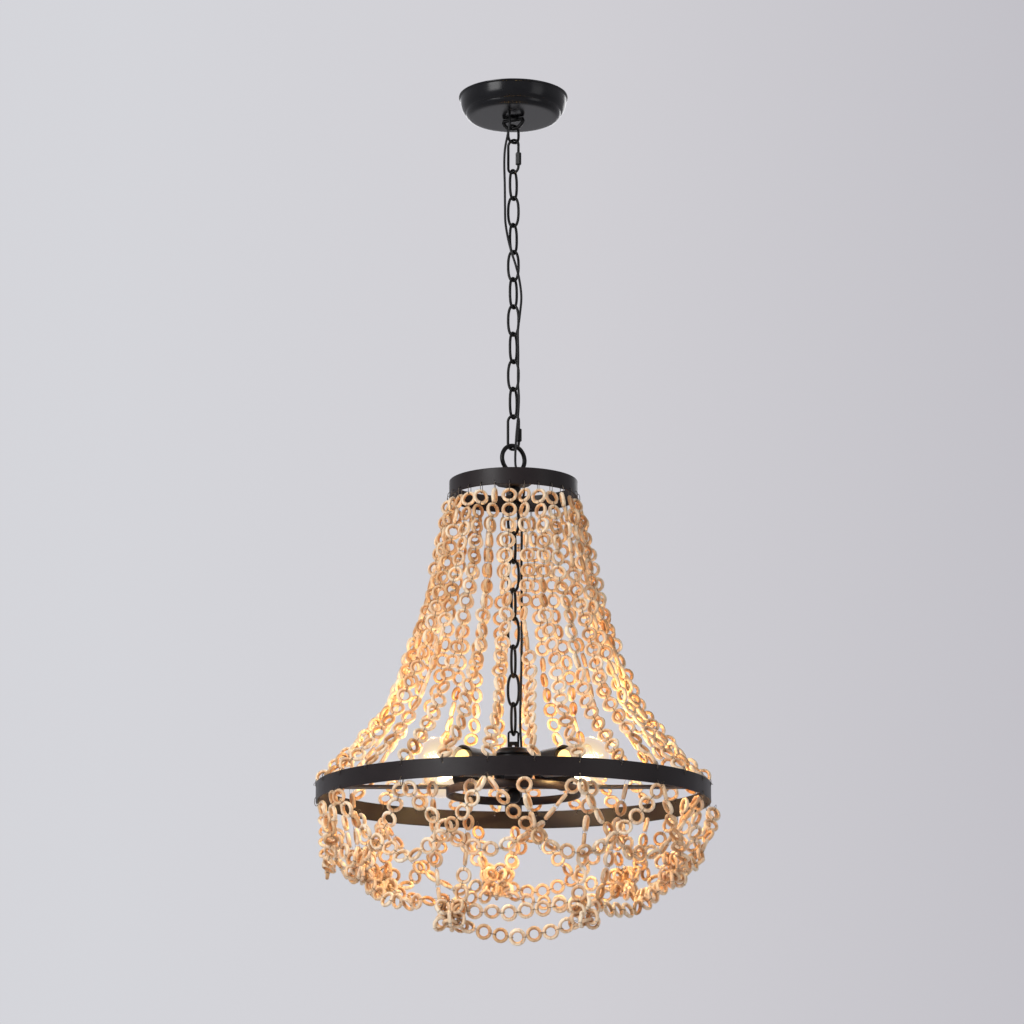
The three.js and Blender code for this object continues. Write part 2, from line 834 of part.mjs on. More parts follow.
// Seven deep, narrow swags on one cord, which runs behind the band from each swag to the next
function deepGarland() {
  const stations = [];
  const runHeight = bigHoopBottom + deepRunHeight;
  bundlePlaces.forEach((_, i) => {
    const from = strandFootAngle + tieStep * (tiesPerSwag * i + 1) + facetStep;
    const to = strandFootAngle + tieStep * tiesPerSwag * (i + 1) - facetStep;
    const start = placeAt(from, deepRadius, bigHoopBottom - ringDiameter / 2);
    const end = placeAt(to, deepRadius, bigHoopBottom - ringDiameter / 2);
    const level = bigHoopBottom + cordClearance;
    stations.push(
      cordAt(from - tieLean, bigInside, runHeight),
      cordAt(from, bigInside, netHoleHeight),
      cordAt(from, bigOutside, netHoleHeight),
      cordAt(from + tieLean / 2, bigOutside, bigHoopBottom - cordClearance),
      cordAt(from + tieLean, bigInside, bigHoopBottom - cordClearance),
      cordAt(from, deepRadius + 2 * ringThickness, level, alongAt(from)),
      cordAt(from, deepRadius, level - cordClearance),
      ...swag(start, end, bundlePoint(i, 0), deepPower),
      cordAt(to, deepRadius, level - cordClearance),
      cordAt(to, deepRadius + 2 * ringThickness, level, alongAt(to)),
      cordAt(to - tieLean, bigInside, bigHoopBottom - cordClearance),
      cordAt(to - tieLean / 2, bigOutside, bigHoopBottom - cordClearance),
      cordAt(to, bigOutside, netHoleHeight),
      cordAt(to, bigInside, netHoleHeight),
      cordAt(to + tieLean, bigInside, runHeight)
    );
    const span = tieStep + 2 * facetStep - 2 * tieLean;
    for (let j = 1; j < deepRunSteps; j++) {
      const angle = to + tieLean + (span * j) / deepRunSteps;
      stations.push(cordAt(angle, bigInside, runHeight, outwardAt(angle)));
    }
  });
  return strand(stations, true);
}

// The bottom garland: a closed ring of swags slung between the lowest points of the deep ones
function bottomGarland() {
  const stations = bundlePlaces.flatMap((_, i) => {
    const start = bundlePoint(i, bottomInset);
    const end = bundlePoint(i + 1, bottomInset);
    const lowest = start.clone().lerp(end, 1 / 2);
    lowest.z -= bottomSags[i];
    return [{ point: start, across: upward, wide: true }, ...swag(start, end, lowest, bottomPower)];
  });
  return strand(stations, true);
}

// Ceiling hardware
function mountingBar() {
  const shape = new THREE.Shape();
  const bend = barWidth / 2;
  shape.moveTo(-barLength / 2 + bend, -barWidth / 2);
  shape.lineTo(barLength / 2 - bend, -barWidth / 2);
  shape.absarc(barLength / 2 - bend, 0, bend, -Math.PI / 2, Math.PI / 2, false);
  shape.lineTo(-barLength / 2 + bend, barWidth / 2);
  shape.absarc(-barLength / 2 + bend, 0, bend, Math.PI / 2, (3 * Math.PI) / 2, false);
  const place = barLength / 2 - barSlotInset;
  for (const side of [-1, 1]) {
    const slot = new THREE.Path();
    const end = (barSlotLength - barSlotWidth) / 2;
    slot.absarc(side * place + end, 0, barSlotWidth / 2, Math.PI / 2, -Math.PI / 2, true);
    slot.absarc(side * place - end, 0, barSlotWidth / 2, -Math.PI / 2, (-3 * Math.PI) / 2, true);
    slot.closePath();
    shape.holes.push(slot);
  }
  shape.holes.push(roundHole(0, 0, canopyHole));
  return plate(shape, -barThickness, barThickness, 4);
}

function canopy() {
  const flare = canopyRadius - canopyDiscRadius;
  const outer = [
    [canopyHole, discBottom],
    [canopyDiscRadius, discBottom],
    ...canopyWallShares.map(([out, up]) => [canopyDiscRadius + out * flare, discBottom + up * canopyDepth]),
    [canopyDiscRadius + canopyRimShare * flare, -canopyLip],
    [canopyRadius, -canopyLipShare * canopyLip],
    [canopyRadius, -gap],
    [canopyRadius - 2 * canopyWall, -gap],
  ];
  const inside = canopyDiscRadius - canopyWall;
  const inner = [
    ...canopyInnerShares.map(([out, up]) => [inside + out * flare, discBottom + up * canopyDepth]),
    [inside, discBottom + canopyWall],
    [canopyHole, discBottom + canopyWall],
    [canopyHole, discBottom],
  ];
  const shell = turned([...outer, ...inner], canopyFacets);
  const drillRadius = cableDiameter / 2 + cableHoleGap;
  const drill = rod(drillRadius, discBottom - canopyWall, discBottom + 2 * canopyWall, 8);
  return cut(shell, [drill.translate(canopyCableHole[0], canopyCableHole[1], 0)]);
}

function hexNut(radius, bottom, height, bore) {
  const shape = polygon(radius, hexSides);
  if (bore > 0) {
    shape.holes.push(roundHole(0, 0, bore));
  }
  return plate(shape, bottom, height, 6);
}

function terminalBlock() {
  const body = block(blockLength, blockWidth, blockHeight);
  const cutters = [-1, 1].map((side) => {
    const drill = rod(blockScrewRadius, 0, blockHeight, 8);
    return drill.translate((side * blockLength) / 4, 0, 0);
  });
  const height = -barThickness - gap - blockHeight / 2;
  return cut(body, cutters).translate(blockInset - barLength / 2, -blockOffset, height);
}

function canopyLoop() {
  const half = (canopyLoopWidth - canopyLoopWire) / 2;
  const path = [new THREE.Vector3(half, 0, canopyBarCentre), new THREE.Vector3(-half, 0, canopyBarCentre)];
  for (let i = 1; i < canopyLoopSteps; i++) {
    const turn = Math.PI + (Math.PI * i) / canopyLoopSteps;
    path.push(
      new THREE.Vector3(half * Math.cos(turn), 0, canopyBarCentre + canopyLoopDrop * Math.sin(turn))
    );
  }
  const loop = wireAlong(path, canopyLoopWire, 8, true);
  return joined([loop, rod(canopyStemRadius, canopyBarCentre, canopyStemTop, 12)]);
}

add("mounting_bar", mountingBar(), zincSteel);
add("canopy", canopy(), blackSteel);
add(
  "canopy_lock_nut",
  hexNut(lockNutRadius, discBottom + canopyWall + gap, lockNutHeight, canopyHole),
  zincSteel
);
add("terminal_block", terminalBlock(), terminalPlastic);
add("canopy_loop", canopyLoop(), blackSteel, canopyLoopTurn);

// Outer chain
const firstLinkPath = linkPath(firstLinkWidth - linkWire, firstLinkTop, firstLinkBottom);
add("chain_link_01", wireLink(firstLinkPath), blackSteel, firstLinkTurn);
add("quick_link_upper", quickLink(quickUpperTop, quickUpperBottom), blackSteel, quickUpperTurn);
add("quick_link_upper_nut", quickSleeve(quickUpperTop, quickUpperBottom), blackSteel, quickUpperTurn);
for (let i = 0; i < outerLinkCount; i++) {
  const top = outerChainTop - linkPitch * i;
  const name = "chain_link_" + String(i + 2).padStart(2, "0");
  const path = ovalPath(linkWidth - linkWire, top, top - linkSpan);
  add(name, wireLink(path), blackSteel, outerLinkTurns[i % outerLinkTurns.length]);
}
add("quick_link_lower", quickLink(quickLowerTop, quickLowerBottom), blackSteel, quickLowerTurn);
add("quick_link_lower_nut", quickSleeve(quickLowerTop, quickLowerBottom), blackSteel, quickLowerTurn);

// Fixture loop and the top frame
function ringOf(outer, wire, centre, sides, steps) {
  const radius = (outer - wire) / 2 / Math.cos(Math.PI / steps);
  const path = Array.from({ length: steps }, (_, i) => {
    const turn = (2 * Math.PI * (i + 1 / 2)) / steps;
    return new THREE.Vector3(radius * Math.sin(turn), 0, centre + radius * Math.cos(turn));
  });
  return wireAlong(path, wire, sides, true);
}

function fixtureLoop() {
  const ring = ringOf(loopOuter, loopWire, loopCentre, 8, 14);
  const boss = rod(loopBossRadius, washerTop + gap, loopBottom, 12);
  const stem = rod(loopStemRadius, crossbarBottom - eyeNutHeight + gap, washerTop + 2 * gap, 12);
  return joined([ring, boss, stem]);
}

function loopWasher() {
  const shape = new THREE.Shape();
  shape.absarc(0, 0, washerRadius, 0, 2 * Math.PI, false);
  shape.holes.push(roundHole(0, 0, loopStemRadius + gap));
  shape.holes.push(roundHole(...washerCableHole, cableDiameter / 2 + cableHoleGap));
  return plate(shape, washerTop - washerThickness, washerThickness, 5);
}

function topCrossbar() {
  const reach = (topHoopRadius - bandThickness) * Math.cos(Math.PI / topHoopFacets) - gap;
  const half = Math.sqrt(reach ** 2 - (crossbarWidth / 2) ** 2);
  const shape = new THREE.Shape();
  shape.moveTo(-crossbarWidth / 2, -half);
  shape.lineTo(crossbarWidth / 2, -half);
  shape.lineTo(crossbarWidth / 2, half);
  shape.lineTo(-crossbarWidth / 2, half);
  shape.closePath();
  shape.holes.push(roundHole(0, 0, loopStemRadius + gap));
  return plate(shape, crossbarBottom, crossbarThickness, 6);
}

function innerEyeNut() {
  const top = crossbarBottom - gap;
  const nut = hexNut(eyeNutRadius, top - eyeNutHeight, eyeNutHeight, 0);
  const bore = rod(loopStemRadius + gap, crossbarBottom - eyeNutHeight, top + gap, 12);
  const neck = rod(eyeWire, eyeCentre + eyeRadius - eyeWire / 2, top - eyeNutHeight + gap, 8);
  const eye = ringOf(eyeOuter, eyeWire, eyeCentre, wireSides, 12);
  return joined([cut(nut, [bore]), neck, eye]);
}

function holesAround(count, firstAngle, height) {
  return Array.from({ length: count }, (_, i) => [firstAngle + (360 * i) / count, height]);
}

const topHoles = holesAround(strandCount, strandTopAngle, topHoleHeight);
const bigHoles = [
  ...holesAround(strandCount, strandFootAngle, footHoleHeight),
  ...holesAround(tieCount, strandFootAngle, netHoleHeight),
  ...holesAround(tieCount / tiesPerSwag, strandFootAngle + tieStep + facetStep, netHoleHeight),
  ...holesAround(tieCount / tiesPerSwag, strandFootAngle + tiesPerSwag * tieStep - facetStep, netHoleHeight),
];

add("fixture_loop", fixtureLoop(), blackSteel, loopTurn);
add("loop_washer", loopWasher(), blackSteel);
add("top_crossbar", topCrossbar(), blackBand);
add(
  "top_hoop",
  hoop(topHoopRadius, topHoopTop, topHoopHeight, topHoopFacets, strandTopAngle, topHoles),
  blackBand
);
add("inner_eye_nut", innerEyeNut(), blackSteel, eyeTurn);

for (let i = 0; i < innerLinkCount; i++) {
  const top = innerChainTop - linkPitch * i;
  const name = "inner_link_" + String(i + 1).padStart(2, "0");
  const path = ovalPath(linkWidth - linkWire, top, top - linkSpan);
  add(name, wireLink(path), blackSteel, innerLinkTurns[i % innerLinkTurns.length]);
}

// Hub
function hubLoop() {
  const shape = new THREE.Shape();
  const half = hubLoopWidth / 2;
  const bottom = hubNeckTop - hubNeckHeight;
  shape.moveTo(-half, bottom);
  shape.lineTo(half, bottom);
  shape.lineTo(half, hubLoopTop - hubLoopBar);
  shape.lineTo(half - hubLoopBar, hubLoopTop);
  shape.lineTo(hubLoopBar - half, hubLoopTop);
  shape.lineTo(-half, hubLoopTop - hubLoopBar);
  shape.closePath();
  const opening = new THREE.Path();
  const inner = half - hubLoopBar;
  opening.moveTo(-inner, hubNeckTop);
  opening.lineTo(-inner, hubLoopTop - hubLoopBar);
  opening.lineTo(inner, hubLoopTop - hubLoopBar);
  opening.lineTo(inner, hubNeckTop);
  opening.closePath();
  shape.holes.push(opening);
  shape.holes.push(roundHole(0, bottom + hubNeckHeight / 3, hubNeckHole));
  const loop = new THREE.ExtrudeGeometry(shape, {
    depth: hubLoopDepth,
    bevelEnabled: false,
    curveSegments: 4,
  });
  return cleaned(loop.rotateX(Math.PI / 2).translate(0, hubLoopDepth / 2, 0));
}

function hubCap() {
  const bottom = hubCapTop - hubCapHeight;
  const slope = hubCapRadius - hubCapTopRadius;
  const outline = [
    [0, hubCapTop],
    [hubCapTopRadius, hubCapTop],
    ...hubCapShares.map(([out, up]) => [hubCapTopRadius + out * slope, bottom + up * hubCapHeight]),
    [hubCapRadius, bottom],
    [0, bottom],
  ];
  const drill = rod(cableDiameter / 2 + cableHoleGap, bottom - gap, hubCapTop + gap, 8);
  return cut(turned(outline, 20), [drill.translate(capCableHole[0], capCableHole[1], 0)]);
}

function hubBody() {
  const foot = hubBottom + hubFootShare * hubHeight;
  const outline = [
    [0, hubTop],
    [hubRadius - hubEdgeShare * hubRadius, hubTop],
    [hubRadius, hubTop - hubEdgeShare * hubRadius],
    [hubRadius, foot],
    [hubFootRadius, foot - (hubRadius - hubFootRadius)],
    [hubFootRadius, hubBottom],
    [0, hubBottom],
  ];
  const bores = Array.from({ length: lampCount }, (_, i) => {
    const boreRadius = stemRadius + 2 * gap;
    const bore = new THREE.CylinderGeometry(boreRadius, boreRadius, hubRadius, lampFacets);
    bore.translate(0, -(hubRadius - stemBoreDepth) - hubRadius / 2, 0);
    bore.rotateZ(radians(lampTurn + (360 * i) / lampCount)).translate(0, 0, lampHeight);
    return cleaned(bore);
  });
  const stud = rod(hubStudRadius + gap, hubBottom - gap, hubBottom + hubRadius / 2 + gap, 8);
  return cut(turned(outline, 24), [...bores, stud]);
}

function hubFinial() {
  const discBase = finialTop - finialDiscHeight;
  const centre = discBase - finialSinkShare * finialRadius;
  const outline = [
    [0, hubBottom + hubRadius / 2],
    [hubStudRadius, hubBottom + hubRadius / 2],
    [hubStudRadius, finialTop],
    [finialDiscRadius, finialTop],
    [finialDiscRadius, discBase],
  ];
  const [start, end] = finialArcAngles;
  for (let i = 0; i <= finialArcSteps; i++) {
    const turn = radians(start + ((end - start) * i) / finialArcSteps);
    outline.push([finialRadius * Math.max(Math.cos(turn), 0), centre + finialRadius * Math.sin(turn)]);
  }
  outline[outline.length - 1][0] = 0;
  return turned(outline, 14);
}

function spokeCross() {
  const reach = (bigHoopRadius - bandThickness) * Math.cos(Math.PI / hoopFacets) - gap;
  const end = Math.sqrt(reach ** 2 - (spokeWidth / 2) ** 2);
  const half = spokeWidth / 2;
  const arm = [
    [half, -half],
    [end, -half],
    [end, half],
  ];
  const shape = new THREE.Shape();
  for (let i = 0; i < 4; i++) {
    const turn = (Math.PI * i) / 2;
    arm.forEach(([x, y], j) => {
      const corner = [x * Math.cos(turn) - y * Math.sin(turn), x * Math.sin(turn) + y * Math.cos(turn)];
      if (i === 0 && j === 0) {
        shape.moveTo(...corner);
      } else {
        shape.lineTo(...corner);
      }
    });
  }
  shape.closePath();
  shape.holes.push(roundHole(0, 0, spokeHole));
  return plate(shape, spokeBottom, spokeThickness, 6);
}

add("hub_loop", hubLoop(), blackSteel);
add("hub_cap", hubCap(), blackSteel);
add("hub_body", hubBody(), blackSteel);
add("hub_finial", hubFinial(), blackSteel);
add("spoke_cross", spokeCross(), blackBand);
add("inner_hoop", hoop(innerHoopRadius, innerHoopTop, innerHoopHeight, innerHoopFacets, 0, []), blackBand);
add(
  "big_hoop",
  hoop(bigHoopRadius, bigHoopTop, bigHoopHeight, hoopFacets, strandFootAngle, bigHoles),
  blackBand
);

// Lamp sockets and bulbs are revolved upright, then laid down to point outwards
function laidOut(outline, angle) {
  const piece = turned(outline, lampFacets);
  return piece.rotateX(Math.PI / 2).rotateZ(radians(angle)).translate(0, 0, lampHeight);
}

function lampSocket(angle) {
  const start = hubRadius - stemBoreDepth + gap;
  const [widening, rise] = socketShoulderShares;
  const shoulder = socketBackPlace + rise * socketBackRadius;
  const shoulderRadius = socketBackRadius + widening * (socketRadius - socketBackRadius);
  const outline = [
    [0, start],
    [stemRadius, start],
    [stemRadius, socketBackPlace],
    [socketBackRadius, socketBackPlace],
    [shoulderRadius, shoulder],
    [socketRadius, socketMouthPlace - 2 * socketWall],
    [socketRimRadius, socketMouthPlace - socketWall],
    [socketRimRadius, socketMouthPlace],
    [socketRadius - socketWall, socketMouthPlace],
    [shoulderRadius - socketWall, socketBackPlace + socketFloor],
    [0, socketBackPlace + socketFloor],
  ];
  return laidOut(outline, angle);
}

function bulb(angle) {
  const capStart = socketBackPlace + socketFloor + gap;
  const neck = capStart + bulbCapLength;
  const outline = [
    [0, capStart],
    [bulbContactRadius, capStart],
    [bulbCapRadius, capStart + bulbContactShare * bulbCapLength],
    [bulbCapRadius, neck],
  ];
  const [start, end] = bulbArcAngles;
  for (let i = 0; i <= bulbArcSteps; i++) {
    const turn = radians(start + ((end - start) * i) / bulbArcSteps);
    outline.push([bulbRadius * Math.sin(turn), bulbPlace - bulbRadius * Math.cos(turn)]);
  }
  outline[outline.length - 1][0] = 0;
  return laidOut(outline, angle);
}

for (let i = 0; i < lampCount; i++) {
  const angle = lampTurn + (360 * i) / lampCount;
  add("lamp_socket_" + (i + 1), lampSocket(angle), blackSteel);
  add("bulb_" + (i + 1), bulb(angle), bulbGlass);
}

// Cable in two lengths that meet end to end at the fixture loop
function cable(route, steps) {
  const curve = new THREE.CatmullRomCurve3(route.map((point) => new THREE.Vector3(...point)));
  const section = polygon(cableDiameter / 2, cableSides);
  return cleaned(new THREE.ExtrudeGeometry(section, { steps, bevelEnabled: false, extrudePath: curve }));
}

add("power_cable_upper", cable(upperCableRoute, upperCableSteps), blackCable);
add("power_cable_lower", cable(lowerCableRoute, lowerCableSteps), blackCable);

// Upper strands, four to a cord
for (let i = 0; i < strandCount / strandsPerGroup; i++) {
  add("bead_strands_" + (i + 1), strandGroup(i * strandsPerGroup), paleWood);
}

add(
  "outer_swag_garland",
  sideGarland(0, outerGarlandRadius, bigOutside, bigInside, outerGarlandSag),
  paleWood
);
add(
  "inner_swag_garland",
  sideGarland(1, innerGarlandRadius, bigInside, bigOutside, innerGarlandSag),
  paleWood
);
add("deep_swag_garland", deepGarland(), paleWood);
add("bottom_swag_garland", bottomGarland(), paleWood);

export default chandelier;
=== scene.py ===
import math
import random

import bmesh
import bpy
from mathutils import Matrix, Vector


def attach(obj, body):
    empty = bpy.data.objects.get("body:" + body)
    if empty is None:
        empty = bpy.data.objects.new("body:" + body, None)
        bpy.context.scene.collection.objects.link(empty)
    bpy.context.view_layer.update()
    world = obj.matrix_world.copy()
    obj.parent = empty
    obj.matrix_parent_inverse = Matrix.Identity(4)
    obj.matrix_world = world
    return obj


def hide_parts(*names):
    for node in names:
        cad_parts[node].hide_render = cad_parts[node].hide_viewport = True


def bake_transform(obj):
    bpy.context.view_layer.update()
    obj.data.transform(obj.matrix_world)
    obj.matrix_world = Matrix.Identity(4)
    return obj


# Looks of the beaded chandelier. The chandelier's sizes are in millimetres and its angles in degrees until a mesh
# is made; the camera, the studio and the inputs of node trees are in metres.
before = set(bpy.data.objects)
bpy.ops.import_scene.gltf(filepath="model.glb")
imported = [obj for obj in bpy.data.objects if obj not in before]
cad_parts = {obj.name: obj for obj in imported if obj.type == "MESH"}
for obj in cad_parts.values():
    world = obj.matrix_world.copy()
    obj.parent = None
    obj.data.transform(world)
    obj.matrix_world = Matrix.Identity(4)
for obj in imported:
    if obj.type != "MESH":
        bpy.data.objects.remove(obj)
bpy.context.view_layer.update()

MM = 0.001
UP = Vector((0, 0, 1))
TINY = 1e-6
# Edges that turn by more than this many degrees stay sharp
SHARP = 40

# Camera: under the shade's level, looking up, with its lens fitted to the photograph's ellipses
LENS, SENSOR, FARTHEST = 115.92, 36, 60
EYE = (-0.0016, -3.702, -1.3501)
TILT = 90 + 12.8655


def camera_as_photographed():
    data = bpy.data.cameras.new("camera")
    data.lens = LENS
    data.sensor_width = SENSOR
    data.clip_end = FARTHEST
    camera = bpy.data.objects.new("camera", data)
    camera.location = EYE
    camera.rotation_euler = (math.radians(TILT), 0, 0)
    bpy.context.collection.objects.link(camera)
    bpy.context.scene.camera = camera


camera_as_photographed()


# Places round the axis. Angle 0 is the front.

def outward(angle):
    return Vector((math.sin(math.radians(angle)), -math.cos(math.radians(angle)), 0))


def along_hoop(angle):
    return Vector((math.cos(math.radians(angle)), math.sin(math.radians(angle)), 0))


def place(angle, radius, height):
    point = outward(angle) * radius
    point.z = height
    return point


# Meshes and pieces

def finished(name, mesh, material, body, *nodes, slot=None, smooth=True):
    """Turns a mesh in metres into a piece that rides on a body and stands for the named nodes."""
    obj = bpy.data.objects.new(name, mesh)
    bpy.context.collection.objects.link(obj)
    if material:
        mesh.materials.append(material)
    if smooth:
        mesh.polygons.foreach_set("use_smooth", [True] * len(mesh.polygons))
    if body:
        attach(obj, body)
    if nodes:
        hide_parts(*nodes)
    return obj


def evaluated_mesh(obj):
    """The mesh that an object's modifiers make. The object itself is removed."""
    depsgraph = bpy.context.evaluated_depsgraph_get()
    mesh = bpy.data.meshes.new_from_object(obj.evaluated_get(depsgraph), preserve_all_data_layers=True,
                                           depsgraph=depsgraph)
    bpy.data.objects.remove(obj)
    return mesh


def mark_sharp(mesh, sharp):
    """Marks the edges that turn by more than an angle, so that smooth shading stops at them."""
    made = bmesh.new()
    made.from_mesh(mesh)
    for edge in made.edges:
        edge.smooth = not (edge.is_manifold and edge.calc_face_angle() > math.radians(sharp))
    made.to_mesh(mesh)
    made.free()


def mesh_of(name, parts, sharp=SHARP):
    """One mesh in metres from lists of (points, faces) in millimetres, with its faces turned outwards."""
    points = []
    faces = []
    for part_points, part_faces in parts:
        start = len(points)
        points += [Vector(p) * MM for p in part_points]
        faces += [[i + start for i in face] for face in part_faces]
    mesh = bpy.data.meshes.new(name)
    mesh.from_pydata(points, [], faces)
    made = bmesh.new()
    made.from_mesh(mesh)
    bmesh.ops.remove_doubles(made, verts=made.verts, dist=TINY)
    bmesh.ops.recalc_face_normals(made, faces=made.faces)
    made.to_mesh(mesh)
    made.free()
    mark_sharp(mesh, sharp)
    return mesh


def points_mesh(name, centres, **attributes):
    """A mesh of loose points in metres, with an attribute's (kind, field, values) under each given name."""
    mesh = bpy.data.meshes.new(name + "_points")
    mesh.from_pydata([centre * MM for centre in centres], [], [])
    for label, (kind, field, values) in attributes.items():
        mesh.attributes.new(label, kind, "POINT").data.foreach_set(field, values)
    return mesh


def closed(profile):
    """The profile brought back to where it starts."""
    return profile + profile[:1]


def lathe(profile, segments, axis=UP, centre=Vector()):
    """A revolved shape. The profile holds (radius, place along the axis) pairs and ends on the axis or closes."""
    side = axis.orthogonal().normalized()
    other = axis.cross(side)
    points = []
    faces = []
    for radius, height in profile:
        for i in range(segments):
            turn = 2 * math.pi * i / segments
            points.append(centre + axis * height + (side * math.cos(turn) + other * math.sin(turn)) * radius)
    for row in range(len(profile) - 1):
        for i in range(segments):
            a, b = row * segments + i, row * segments + (i + 1) % segments
            c, d = a + segments, b + segments
            if profile[row][0] < TINY:
                faces.append((a, d, c))
            elif profile[row + 1][0] < TINY:
                faces.append((a, b, c))
            else:
                faces.append((a, b, d, c))
    return points, faces


def swept(path, radius, sides, ring=False):
    """Round wire along a list of points, joined end to end if it is a ring."""
    count = len(path)
    points = []
    faces = []
    side = None
    for i, point in enumerate(path):
        before = path[(i - 1) % count if ring else max(i - 1, 0)]
        after = path[(i + 1) % count if ring else min(i + 1, count - 1)]
        travel = (after - before).normalized()
        if side is None:
            side = travel.orthogonal()
        side = (side - travel * side.dot(travel)).normalized()
        other = travel.cross(side)
        for j in range(sides):
            turn = 2 * math.pi * j / sides
            points.append(point + (side * math.cos(turn) + other * math.sin(turn)) * radius)
    for i in range(count if ring else count - 1):
        start = i * sides
        following = ((i + 1) % count) * sides
        shift = 0
        if ring and i == count - 1:
            gaps = [(points[start] - points[following + j]).length for j in range(sides)]
            shift = gaps.index(min(gaps))
        for j in range(sides):
            k = (j + 1) % sides
            faces.append((start + j, start + k, following + (k + shift) % sides, following + (j + shift) % sides))
    if not ring:
        faces.append(tuple(range(sides)))
        faces.append(tuple((count - 1) * sides + j for j in range(sides)))
    return points, faces


def loop_path(width, top, bottom, turn, steps=12):
    """Centre line of an oblong link between two heights, standing in the plane at this turn."""
    bow = width / 2
    path = []
    for start, centre in ((0, top - bow), (math.pi, bottom + bow)):
        for i in range(steps + 1):
            angle = start + math.pi * i / steps
            path.append(along_hoop(turn) * bow * math.cos(angle) + UP * (centre + bow * math.sin(angle)))
    return path


def round_path(radius, centre, turn, steps):
    """Centre line of an upright round loop."""
    return [along_hoop(turn) * radius * math.cos(2 * math.pi * i / steps)
            + UP * (centre + radius * math.sin(2 * math.pi * i / steps)) for i in range(steps)]


def smooth_curve(points, per_span):
    """A smooth curve through all the points."""
    curve = []
    for i in range(len(points) - 1):
        a = points[max(i - 1, 0)]
        b, c = points[i], points[i + 1]
        d = points[min(i + 2, len(points) - 1)]
        for j in range(per_span):
            t = j / per_span
            curve.append(0.5 * ((2 * b) + (c - a) * t + (2 * a - 5 * b + 4 * c - d) * t ** 2
                                + (3 * b - a - 3 * c + d) * t ** 3))
    curve.append(points[-1].copy())
    return curve


# Node trees

def feed(tree, node, sockets):
    """Fills a node's inputs: a socket is linked to the input, and anything else becomes its value."""
    for name, value in sockets.items():
        if isinstance(value, bpy.types.NodeSocket):
            tree.links.new(value, node.inputs[name])
        else:
            node.inputs[name].default_value = value


def add(tree, kind, sockets=None, **settings):
    """Adds a node with these settings and inputs."""
    node = tree.nodes.new(kind)
    for key, value in settings.items():
        setattr(node, key, value)
    feed(tree, node, sockets or {})
    return node


def maths(tree, operation, first, second=None):
    sockets = {0: first} if second is None else {0: first, 1: second}
    return add(tree, "ShaderNodeMath", sockets, operation=operation).outputs["Value"]


def vector_maths(tree, operation, first, second):
    return add(tree, "ShaderNodeVectorMath", {0: first, 1: second}, operation=operation).outputs["Vector"]


def new_group(kind, name, inputs, outputs):
    """An empty node group with (label, kind, default) inputs and (label, kind) outputs."""
    tree = bpy.data.node_groups.new(name, kind)
    for label, socket_kind, default in inputs:
        socket = tree.interface.new_socket(label, in_out="INPUT", socket_type=socket_kind)
        if default is not None:
            socket.default_value = default
    for label, socket_kind in outputs:
        tree.interface.new_socket(label, in_out="OUTPUT", socket_type=socket_kind)
    return tree, tree.nodes.new("NodeGroupInput").outputs, tree.nodes.new("NodeGroupOutput")


def speckle_group():
    """A fine speckle over a slower drift: a mask for colour and roughness, and a height for a bump."""
    tree, given, result = new_group(
        "ShaderNodeTree", "paint_speckle",
        [("Grain", "NodeSocketFloat", 900.0), ("Drift", "NodeSocketFloat", 30.0)],
        [("Mask", "NodeSocketFloat"), ("Height", "NodeSocketFloat")])
    where = add(tree, "ShaderNodeTexCoord").outputs["Object"]
    fine = add(tree, "ShaderNodeTexNoise", {"Vector": where, "Scale": given["Grain"], "Detail": 3})
    slow = add(tree, "ShaderNodeTexNoise", {"Vector": where, "Scale": given["Drift"], "Detail": 4})
    both = add(tree, "ShaderNodeMix", {"Factor": 0.35, "A": slow.outputs["Fac"], "B": fine.outputs["Fac"]})
    feed(tree, result, {"Mask": both.outputs["Result"], "Height": fine.outputs["Fac"]})
    return tree


def grain_group():
    """Wood grain that runs one way through each ring, shifted by the ring's own tone."""
    tree, given, result = new_group(
        "ShaderNodeTree", "ring_grain",
        [("Tone", "NodeSocketFloat", 0.5), ("Scale", "NodeSocketFloat", 260.0)],
        [("Streaks", "NodeSocketFloat"), ("Height", "NodeSocketFloat")])
    where = add(tree, "ShaderNodeTexCoord").outputs["Object"]
    stretched = vector_maths(tree, "MULTIPLY", where, (1.0, 1.0, 0.22))
    shifted = vector_maths(tree, "ADD", stretched, given["Tone"])
    streaks = add(tree, "ShaderNodeTexNoise",
                  {"Vector": shifted, "Scale": given["Scale"], "Detail": 5, "Roughness": 0.65}).outputs["Fac"]
    feed(tree, result, {"Streaks": streaks, "Height": streaks})
    return tree


SPECKLE = speckle_group()
GRAIN = grain_group()

# Colours: a ramp's stops are (position, colour)
WOOD_TONES = [(0.0, (0.635, 0.38, 0.175)), (0.3, (0.84, 0.61, 0.39)), (1.0, (0.95, 0.81, 0.61))]
WOOD_STREAKS = [(0.36, (0.52, 0.38, 0.27)), (0.56, (1.0, 1.0, 1.0))]
# Painted shade: the warm brown that the wall inside each ring's hole is darkened towards
WOOD_HOLE_SHADE = (0.76, 0.52, 0.31, 1)
# The deep brown that each ring is darkened towards where its wires go through
WOOD_AT_WIRES = (0.16, 0.085, 0.04, 1)
GLASS_GLOW = [(0.0, (1.0, 0.88, 0.62)), (0.12, (1.0, 0.78, 0.48)), (0.40, (1.0, 0.70, 0.42)),
              (1.0, (0.92, 0.60, 0.36))]
GLASS_CLOUDS = [(0.3, (0.90, 0.86, 0.82)), (0.7, (1.0, 1.0, 1.0))]
GLASS_DENSITY = [(0.0, 0.62), (0.10, 0.52), (0.30, 0.34), (0.60, 0.18), (1.0, 0.45)]
GLASS_BODY = (0.001, 0.001, 0.001, 1)
CORE_GLOW = [(0.3, (1.0, 0.72, 0.36)), (0.7, (1.0, 0.84, 0.55))]
CORE_LIGHT = (1.0, 0.63, 0.25, 1)
